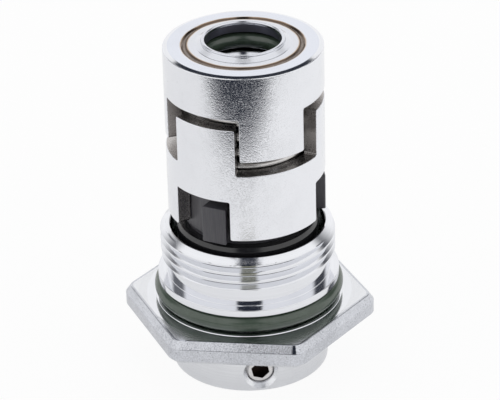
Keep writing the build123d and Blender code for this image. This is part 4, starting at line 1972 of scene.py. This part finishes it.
@dataclass
class GlandAssembly:
    """The gland: hexagon, groove with its O-ring, flange, neck and threaded collar."""

    bore: float = 9.95
    hex_top: float = 15.8
    hex_rounding: float = 3.5
    bevel_width: float = 1.12
    bevel_height: float = 1.6
    under_bevel: float = 1.1
    top_rim: float = 0.5
    under_rim: float = 0.6
    shoulder_radius: float = 20.8
    shoulder_foot: float = 22.55
    lip_radius: float = 20.45
    lip_height: float = 0.20
    lip_slope: float = 0.5
    shoulder_top: float = 16.1
    groove_radius: float = 17.13
    flange_bottom: float = 20.25
    flange_top: float = 21.85
    flange_radius: float = 19.8
    flange_root: float = 0.15
    neck_radius: float = 17.7
    thread_bottom: float = 25.6
    thread_foot: float = 0.75
    thread_root: float = 17.85
    thread_radius: float = 19.0
    thread_chamfer: float = 1.75
    chamfer_height: float = 0.95
    pitch: float = 2.0
    crest_height: float = 30.5
    mouth_radius: float = 16.8
    mouth_edge: float = 0.2
    mouth_floor: float = 25.22
    seat_hole: float = 14.25
    seat_floor: float = 21.6
    ring_section: float = 3.5

    def build(self) -> None:
        """Build and fasten all pieces."""
        seat(self._body(), "gland", "cast_steel", "gland")
        seat(self._thread(), "gland", "cast_steel")
        seat_o_ring("gland_rubber_ring", "gland_o_ring", self.ring_section, "gland")
        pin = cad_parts["locking_pin"].data
        pin.materials.clear()
        pin.materials.append(WIRE.material())

    def _body(self) -> Piece:
        """Build the hexagon and the turned body up to the thread.

        Returns:
            The gland without its thread.
        """
        low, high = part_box("gland")
        bottom, apothem = low.z / MM, high.y / MM
        outline, circle = HexOutline(apothem, self.hex_rounding), RoundOutline()
        top_edge = apothem - self.bevel_width - self.top_rim
        under_edge = apothem - self.under_bevel - self.under_rim
        columns = even_turns(360)
        shell = Shell()
        rim = [
            Corner(under_edge, bottom),
            Corner(apothem - self.under_bevel, bottom, 0.3),
            Corner(apothem, bottom + self.under_bevel, 0.3),
            Corner(apothem, self.hex_top - self.bevel_height, 0.35),
            Corner(apothem - self.bevel_width, self.hex_top, 0.25),
            Corner(top_edge, self.hex_top),
        ]
        shell.sweep(rim, columns, outline, steps=Rounding.SMOOTH, finish=1)
        shell.bridge(closed_line(outline, columns, top_edge, self.hex_top),
                     closed_line(circle, columns, self.shoulder_foot, self.hex_top), (0, 0, 1), finish=2)
        shell.bridge(closed_line(circle, columns, self.shoulder_radius, bottom),
                     closed_line(outline, columns, under_edge, bottom), (0, 0, -1), finish=2)
        turned = [
            Corner(self.shoulder_foot, self.hex_top),
            Corner(self.lip_radius + 0.05, self.hex_top + 0.07),
            Corner(self.lip_radius, self.hex_top + self.lip_height, 0.05),
            Corner(self.lip_radius - self.lip_slope, self.shoulder_top),
            Corner(self.groove_radius, self.shoulder_top, 0.2),
            Corner(self.groove_radius, self.flange_bottom, 0.2),
            Corner(self.flange_radius, self.flange_bottom, 0.12),
            Corner(self.flange_radius, self.flange_top, 0.16),
            Corner(self.neck_radius, self.flange_top, self.flange_root),
            Corner(self.neck_radius, self.thread_bottom),
            Corner(self.mouth_radius, self.thread_bottom),
            Corner(self.mouth_radius, self.mouth_floor, 0.2),
            Corner(self.seat_hole, self.mouth_floor, 0.1),
            Corner(self.seat_hole, self.seat_floor, 0.2),
            Corner(self.bore, self.seat_floor, 0.2),
            Corner(self.bore, bottom, 0.3),
            Corner(self.shoulder_radius, bottom),
        ]
        shell.sweep(turned, columns, steps=Rounding.SMOOTH)
        return shell.build("gland_body", BRIGHT, CAST, SATIN)

    def _thread(self) -> Piece:
        """Build the threaded collar.

        Returns:
            The threaded collar.
        """
        gland = extent("gland")
        piece = link_object("threaded_collar", bpy.data.meshes.new("threaded_collar"))
        quarter_turn = 0.25
        lead = (self.crest_height - self.thread_bottom) / self.pitch + quarter_turn
        sizes = {
            "Bottom": self.thread_bottom, "Top": gland.top, "Root Radius": self.thread_root,
            "Crest Radius": self.thread_radius, "Bore Radius": self.mouth_radius,
            "Neck Radius": self.neck_radius, "Foot": self.thread_foot, "Pitch": self.pitch,
            "Chamfer": self.thread_chamfer, "Chamfer Height": self.chamfer_height,
            "Mouth Edge": self.mouth_edge,
        }
        return run_tree(piece, threaded_ring_tree(), BRIGHT, {
            **{name: size * MM for name, size in sizes.items()}, "Phase": (0.5 - lead) % 1.0})


@dataclass
class CollarAssembly:
    """The drive collar with its set screws."""

    bore: float = 9.65
    edge: float = 0.3
    screw_turns: tuple[float, ...] = (-75.6, 44.4, 164.4)
    screw_height: float = 4.4
    screw_radius: float = 2.95
    hole_radius: float = 3.0
    mouth_radius: float = 3.8
    screw_tip: float = 8.85
    screw_face: float = 15.85
    point_width: float = 1.2
    point_length: float = 1.0
    cup_depth: float = 0.3
    face_width: float = 0.45
    drill_depth: float = 0.6
    socket_flats: float = 3.6
    socket_depth: float = 3.0
    socket_turn: float = 12.0

    def build(self) -> None:
        """Build and fasten all pieces."""
        seat(self._collar(), "rotor", "turned_steel", "drive_collar")
        seat(self._screws(), "rotor", "screw_steel", "set_screw_1", "set_screw_2", "set_screw_3")

    def _collar(self) -> Piece:
        """Build the collar with its countersunk holes.

        Returns:
            The collar.
        """
        collar = extent("drive_collar")
        low, high = collar.bottom + self.edge, collar.top - self.edge
        wall = DrilledWall(collar.radius, self.bore, low, high, self.hole_radius, self.mouth_radius,
                           self.screw_height, self.screw_turns)
        columns = wall.columns()
        shell = Shell()
        wall.add(shell)
        lower = [Corner(self.bore, low), Corner(self.bore, collar.bottom, 0.2),
                 Corner(collar.radius, collar.bottom, self.edge), Corner(collar.radius, low)]
        upper = [Corner(collar.radius, high), Corner(collar.radius, collar.top, self.edge),
                 Corner(self.bore, collar.top, 0.2), Corner(self.bore, high)]
        for corners in (lower, upper):
            shell.sweep(corners, columns)
        return shell.build("collar_ring", SATIN)

    def _screws(self) -> Piece:
        """Build one set screw and copy it round the collar.

        Returns:
            All set screws as one piece.
        """
        columns = even_turns(72)
        socket_spin = np.array(Matrix.Rotation(radians(self.socket_turn), 3, "Z"))
        socket = HexOutline(self.socket_flats / 2, rounding=0.12)
        length, edge = self.screw_face - self.screw_tip, 0.35
        radius = self.screw_radius
        shell = Shell()
        circle, flats = RoundOutline(), self.socket_flats / 2
        barrel = [
            Corner(radius - self.point_width, 0),
            Corner(radius, self.point_length, 0.2),
            Corner(radius, length - edge, 0.1),
            Corner(radius - edge, length, 0.1),
            Corner(flats + self.face_width, length),
        ]
        shell.sweep(barrel, columns)

        shell.bridge(closed_line(circle, columns, flats + self.face_width, length),
                     closed_line(socket, columns, flats, length), (0, 0, 1))
        inner = [Corner(flats, length), Corner(flats, length - self.socket_depth)]
        # The socket's walls and floor take the second finish, the painted shade.
        shell.sweep(inner, columns, socket, finish=1)
        floor = length - self.socket_depth
        shell.cap(closed_line(socket, columns, flats, floor), (0, 0, floor - self.drill_depth), (0, 0, 1),
                  finish=1)
        shell.cap(closed_line(circle, columns, radius - self.point_width, 0)[::-1],
                  (0, 0, self.cup_depth), (0, 0, -1))

        def lay(corners: Array, normals: Array) -> Pair:
            """Lay the screw along +X at its height.

            Args:
                corners: Places in millimetres.
                normals: Their normals.

            Returns:
                Both, changed.
            """
            spin = np.array([[0, 0, 1.0], [0, 1.0, 0], [-1.0, 0, 0]]) @ socket_spin
            places = corners @ spin.T + np.array([self.screw_tip, 0, self.screw_height])
            return places, normals @ spin.T

        shell.reshape(lay)
        return copy_round(shell.build("set_screws", SCREW, SOCKET), self.screw_turns, SCREW)


# ---------------- studio


@dataclass(frozen=True)
class Band:
    """A range of a value, with soft ends."""

    low: float
    high: float
    blur: float

    def mask(self, bench: NodeBench, value: Value) -> Value:
        """Give 1 inside the range and 0 outside.

        Args:
            bench: Where nodes are added.
            value: The value.

        Returns:
            The mask.
        """
        rise = bench.remap(value, self.low - self.blur, self.low + self.blur, 0.0, 1.0, True)
        fall = bench.remap(value, self.high - self.blur, self.high + self.blur, 1.0, 0.0, True)
        return rise * fall


# No part of a unit ray lies beyond this.
NO_END = 2.0


@dataclass
class Studio:
    """Floor, light and camera.

    The walls are white all round. Four dark gaps in them show in the steel: the pit in
    front of the table, the slit above it, the gaps between the back walls, and the dark
    ceiling behind. Their ranges are parts of a unit ray: height, forward to the camera,
    sideways, and bearing, which is forward without the height.
    """

    camera_turn: float = 7.2
    camera_tilt: float = 28.54
    camera_roll: float = -1.42
    distance: float = 581.4
    side_shift: float = 0.65
    aim_height: float = 37.94
    focal_pixels: float = 2690.4
    image_width: int = 500
    sensor: float = 36.0
    floor_front: float = 130.6
    floor_curve: float = 2000.0
    floor_side: float = 900.0
    floor_turn: float = -0.7
    curve_half_turn: float = 6.0
    pit_height: Band = Band(-NO_END, 0.03, 0.03)
    pit_bearing: Band = Band(0.45, NO_END, 0.1)
    slit_height: Band = Band(0.26, NO_END, 0.05)
    slit_forward: Band = Band(-0.20, NO_END, 0.02)
    slit_side: Band = Band(-NO_END, 0.0, 0.02)
    slit_narrowing: tuple[float, ...] = (0.26, 0.707, 0.45, 0.118)
    slit_least: float = 0.075
    gaps_bearing: Band = Band(-0.77, -0.27, 0.10)
    gaps_height: Band = Band(0.26, 0.67, 0.07)
    gaps_shade: tuple[float, ...] = (-0.2, 0.2, 0.85, 0.96)
    behind_edge: tuple[float, ...] = (0.0, 0.30, 0.78, 0.56)
    behind_forward: Band = Band(-0.86, -0.24, 0.03)
    behind_width: Band = Band(0.0, 0.17, 0.02)
    behind_side: Band = Band(-0.40, 0.40, 0.05)
    gap_colour: Colour = (0.024, 0.028, 0.040)
    floor_colour: float = 0.93
    white_to_camera: float = 0.92
    white_left: float = 0.30
    white_right: float = 0.66
    white_reach: float = 120.0
    card_front: float = 73.0
    card_length: float = 13.0
    card_width: float = 24.0
    card_fade: tuple[float, float] = (0.35, 0.65)
    card_colour: Colour = (0.20, 0.20, 0.15)
    box_size: float = 0.5
    box_power: float = 0.5
    box_back: float = 0.1
    box_height: float = 0.7

    def build(self) -> None:
        """Make the whole studio."""
        self._camera()
        self._world()
        self._floor()
        self._lamps()
        bpy.context.scene.view_settings.view_transform = "Standard"

    def _camera(self) -> None:
        """Set up the camera."""
        tilt, turn = radians(self.camera_tilt), radians(self.camera_turn)
        data = bpy.data.cameras.new("camera")
        data.sensor_width = self.sensor
        data.lens = self.focal_pixels * self.sensor / self.image_width
        data.clip_start, data.clip_end = 0.01, 10.0
        camera = link_object("camera", data)
        place = Vector((self.side_shift, -self.distance * cos(tilt),
                        self.aim_height + self.distance * sin(tilt))) * MM
        look = Matrix.Rotation(radians(90 - self.camera_tilt), 4, "X")
        roll = Matrix.Rotation(radians(self.camera_roll), 4, "Z")
        camera.matrix_world = Matrix.Rotation(turn, 4, "Z") @ Matrix.Translation(place) @ look @ roll
        bpy.context.scene.camera = camera

    def _world(self) -> None:
        """Paint the studio's walls of light: white, with the dark gaps that the steel shows."""
        world = bpy.data.worlds.new("studio")
        bpy.context.scene.world = world
        bench = NodeBench.clear(world)
        ray = bench.out(bench.add("ShaderNodeTexCoord"), "Generated")
        x, y, height = bench.split(ray)
        turn = radians(self.camera_turn)
        front = (sin(turn), -cos(turn), 0.0)
        right = (cos(turn), sin(turn), 0.0)
        level = bench.vector("NORMALIZE", bench.join(x, y, 0.0))
        bearing = bench.vector("DOT_PRODUCT", level, front)
        forward = bench.vector("DOT_PRODUCT", ray, front)
        sideways = bench.vector("DOT_PRODUCT", ray, right)
        aside = abs(sideways)

        pit = self.pit_height.mask(bench, height) * self.pit_bearing.mask(bench, bearing)
        slit_half = bench.remap(height, *self.slit_narrowing)
        slit_half = bench.math("MAXIMUM", slit_half, self.slit_least)
        slit = self.slit_side.mask(bench, aside - slit_half) * self.slit_height.mask(bench, height)
        slit = slit * self.slit_forward.mask(bench, forward)
        gaps = self.gaps_bearing.mask(bench, bearing) * self.gaps_height.mask(bench, height)
        gaps = gaps * bench.remap(sideways, *self.gaps_shade)
        edge = bench.remap(aside, *self.behind_edge)
        behind = self.behind_forward.mask(bench, forward) * self.behind_width.mask(bench, height - edge)
        behind = behind * self.behind_side.mask(bench, sideways)
        dark = pit
        for gap in (slit, gaps, behind):
            dark = bench.math("MAXIMUM", dark, gap)
        dark = dark * (1.0 - bench.out(bench.add("ShaderNodeLightPath"), "Is Camera Ray"))
        colour = bench.mix(dark, (1.0, 1.0, 1.0), self.gap_colour)
        background = bench.add("ShaderNodeBackground", named={"Color": colour, "Strength": 1.0})
        bench.add("ShaderNodeOutputWorld", background)

    def _floor(self) -> None:
        """Lay a pale table top that ends in front of the seal."""
        front, side, curve = self.floor_front * MM, self.floor_side * MM, self.floor_curve * MM
        spin = Matrix.Rotation(radians(self.floor_turn), 3, "Z")
        steps = 12
        turns = [radians(self.curve_half_turn) * step / steps for step in range(-steps, steps + 1)]
        edge = [(curve * sin(turn), curve * (1 - cos(turn)) - front, 0) for turn in turns]
        corners = [(-side, edge[0][1], 0), *edge, (side, edge[-1][1], 0), (side, side, 0), (-side, side, 0)]
        mesh = bpy.data.meshes.new("floor")
        places = [tuple(spin @ Vector(corner)) for corner in corners]
        mesh.from_pydata(places, [], [tuple(range(len(places)))])
        floor = link_object("floor", mesh)
        material = bpy.data.materials.new("pale_floor")
        bench = NodeBench.clear(material)
        diffuse = bench.add("ShaderNodeBsdfDiffuse", named={"Color": (*(self.floor_colour,) * 3, 1.0)})
        white = bench.add("ShaderNodeEmission", named={"Color": (1.0, 1.0, 1.0, 1.0), "Strength": 1.0})
        dark = bench.add("ShaderNodeEmission", named={"Color": (*self.card_colour, 1.0), "Strength": 1.0})
        rays = bench.add("ShaderNodeLightPath")
        to_camera = bench.out(rays, "Is Camera Ray")
        to_metal = bench.out(rays, "Is Glossy Ray")
        places = bench.out(bench.add("ShaderNodeTexCoord"), "Object")
        facing = (0.0, 0.0, -radians(self.camera_turn))
        x, y, _ = bench.split(bench.add("ShaderNodeMapping", places, None, facing))
        # Painted reflection: the steel sees the table top mixed with white, more on the right than on the
        # left.
        level = bench.remap(x, -self.white_reach * MM, self.white_reach * MM, self.white_left,
                            self.white_right, True)
        shown = bench.math("MAXIMUM", to_camera * self.white_to_camera, to_metal * level)
        table = bench.add("ShaderNodeMixShader", shown, diffuse, white)
        # Painted reflection: a dark card in front of the seal that only the steel's reflections see.
        card = self._within(bench, abs(y + self.card_front * MM), self.card_length)
        card = card * self._within(bench, abs(x), self.card_width) * to_metal
        bench.add("ShaderNodeOutputMaterial", bench.add("ShaderNodeMixShader", card, table, dark))
        mesh.materials.append(material)

    def _within(self, bench: NodeBench, aside: Value, size: float) -> Value:
        """Give 1 within half a size of a line and 0 beyond, with a soft end."""
        inner, outer = (size * share * MM for share in self.card_fade)
        return bench.remap(aside, inner, outer, 1.0, 0.0, True)

    def _lamps(self) -> None:
        """Hang a soft box above the seal."""
        data = bpy.data.lights.new("top_box", "AREA")
        data.shape, data.size, data.energy = "SQUARE", self.box_size, self.box_power
        lamp = link_object("top_box", data)
        turn = Matrix.Rotation(radians(self.camera_turn), 4, "Z")
        lamp.matrix_world = turn @ Matrix.Translation((0.0, self.box_back, self.box_height))
        lamp.visible_glossy = False


# ---------------- main


def main() -> None:
    """Build the seal piece by piece, then the studio round it."""
    logging.basicConfig(level=logging.INFO, format="%(name)s: %(message)s")
    collar = CollarAssembly()
    Studio().build()
    collar.build()
    SleeveAssembly().build(collar.screw_turns)
    GlandAssembly().build()
    SealRings().build()
    CrownDrive().build()


if __name__ == "__main__":
    main()
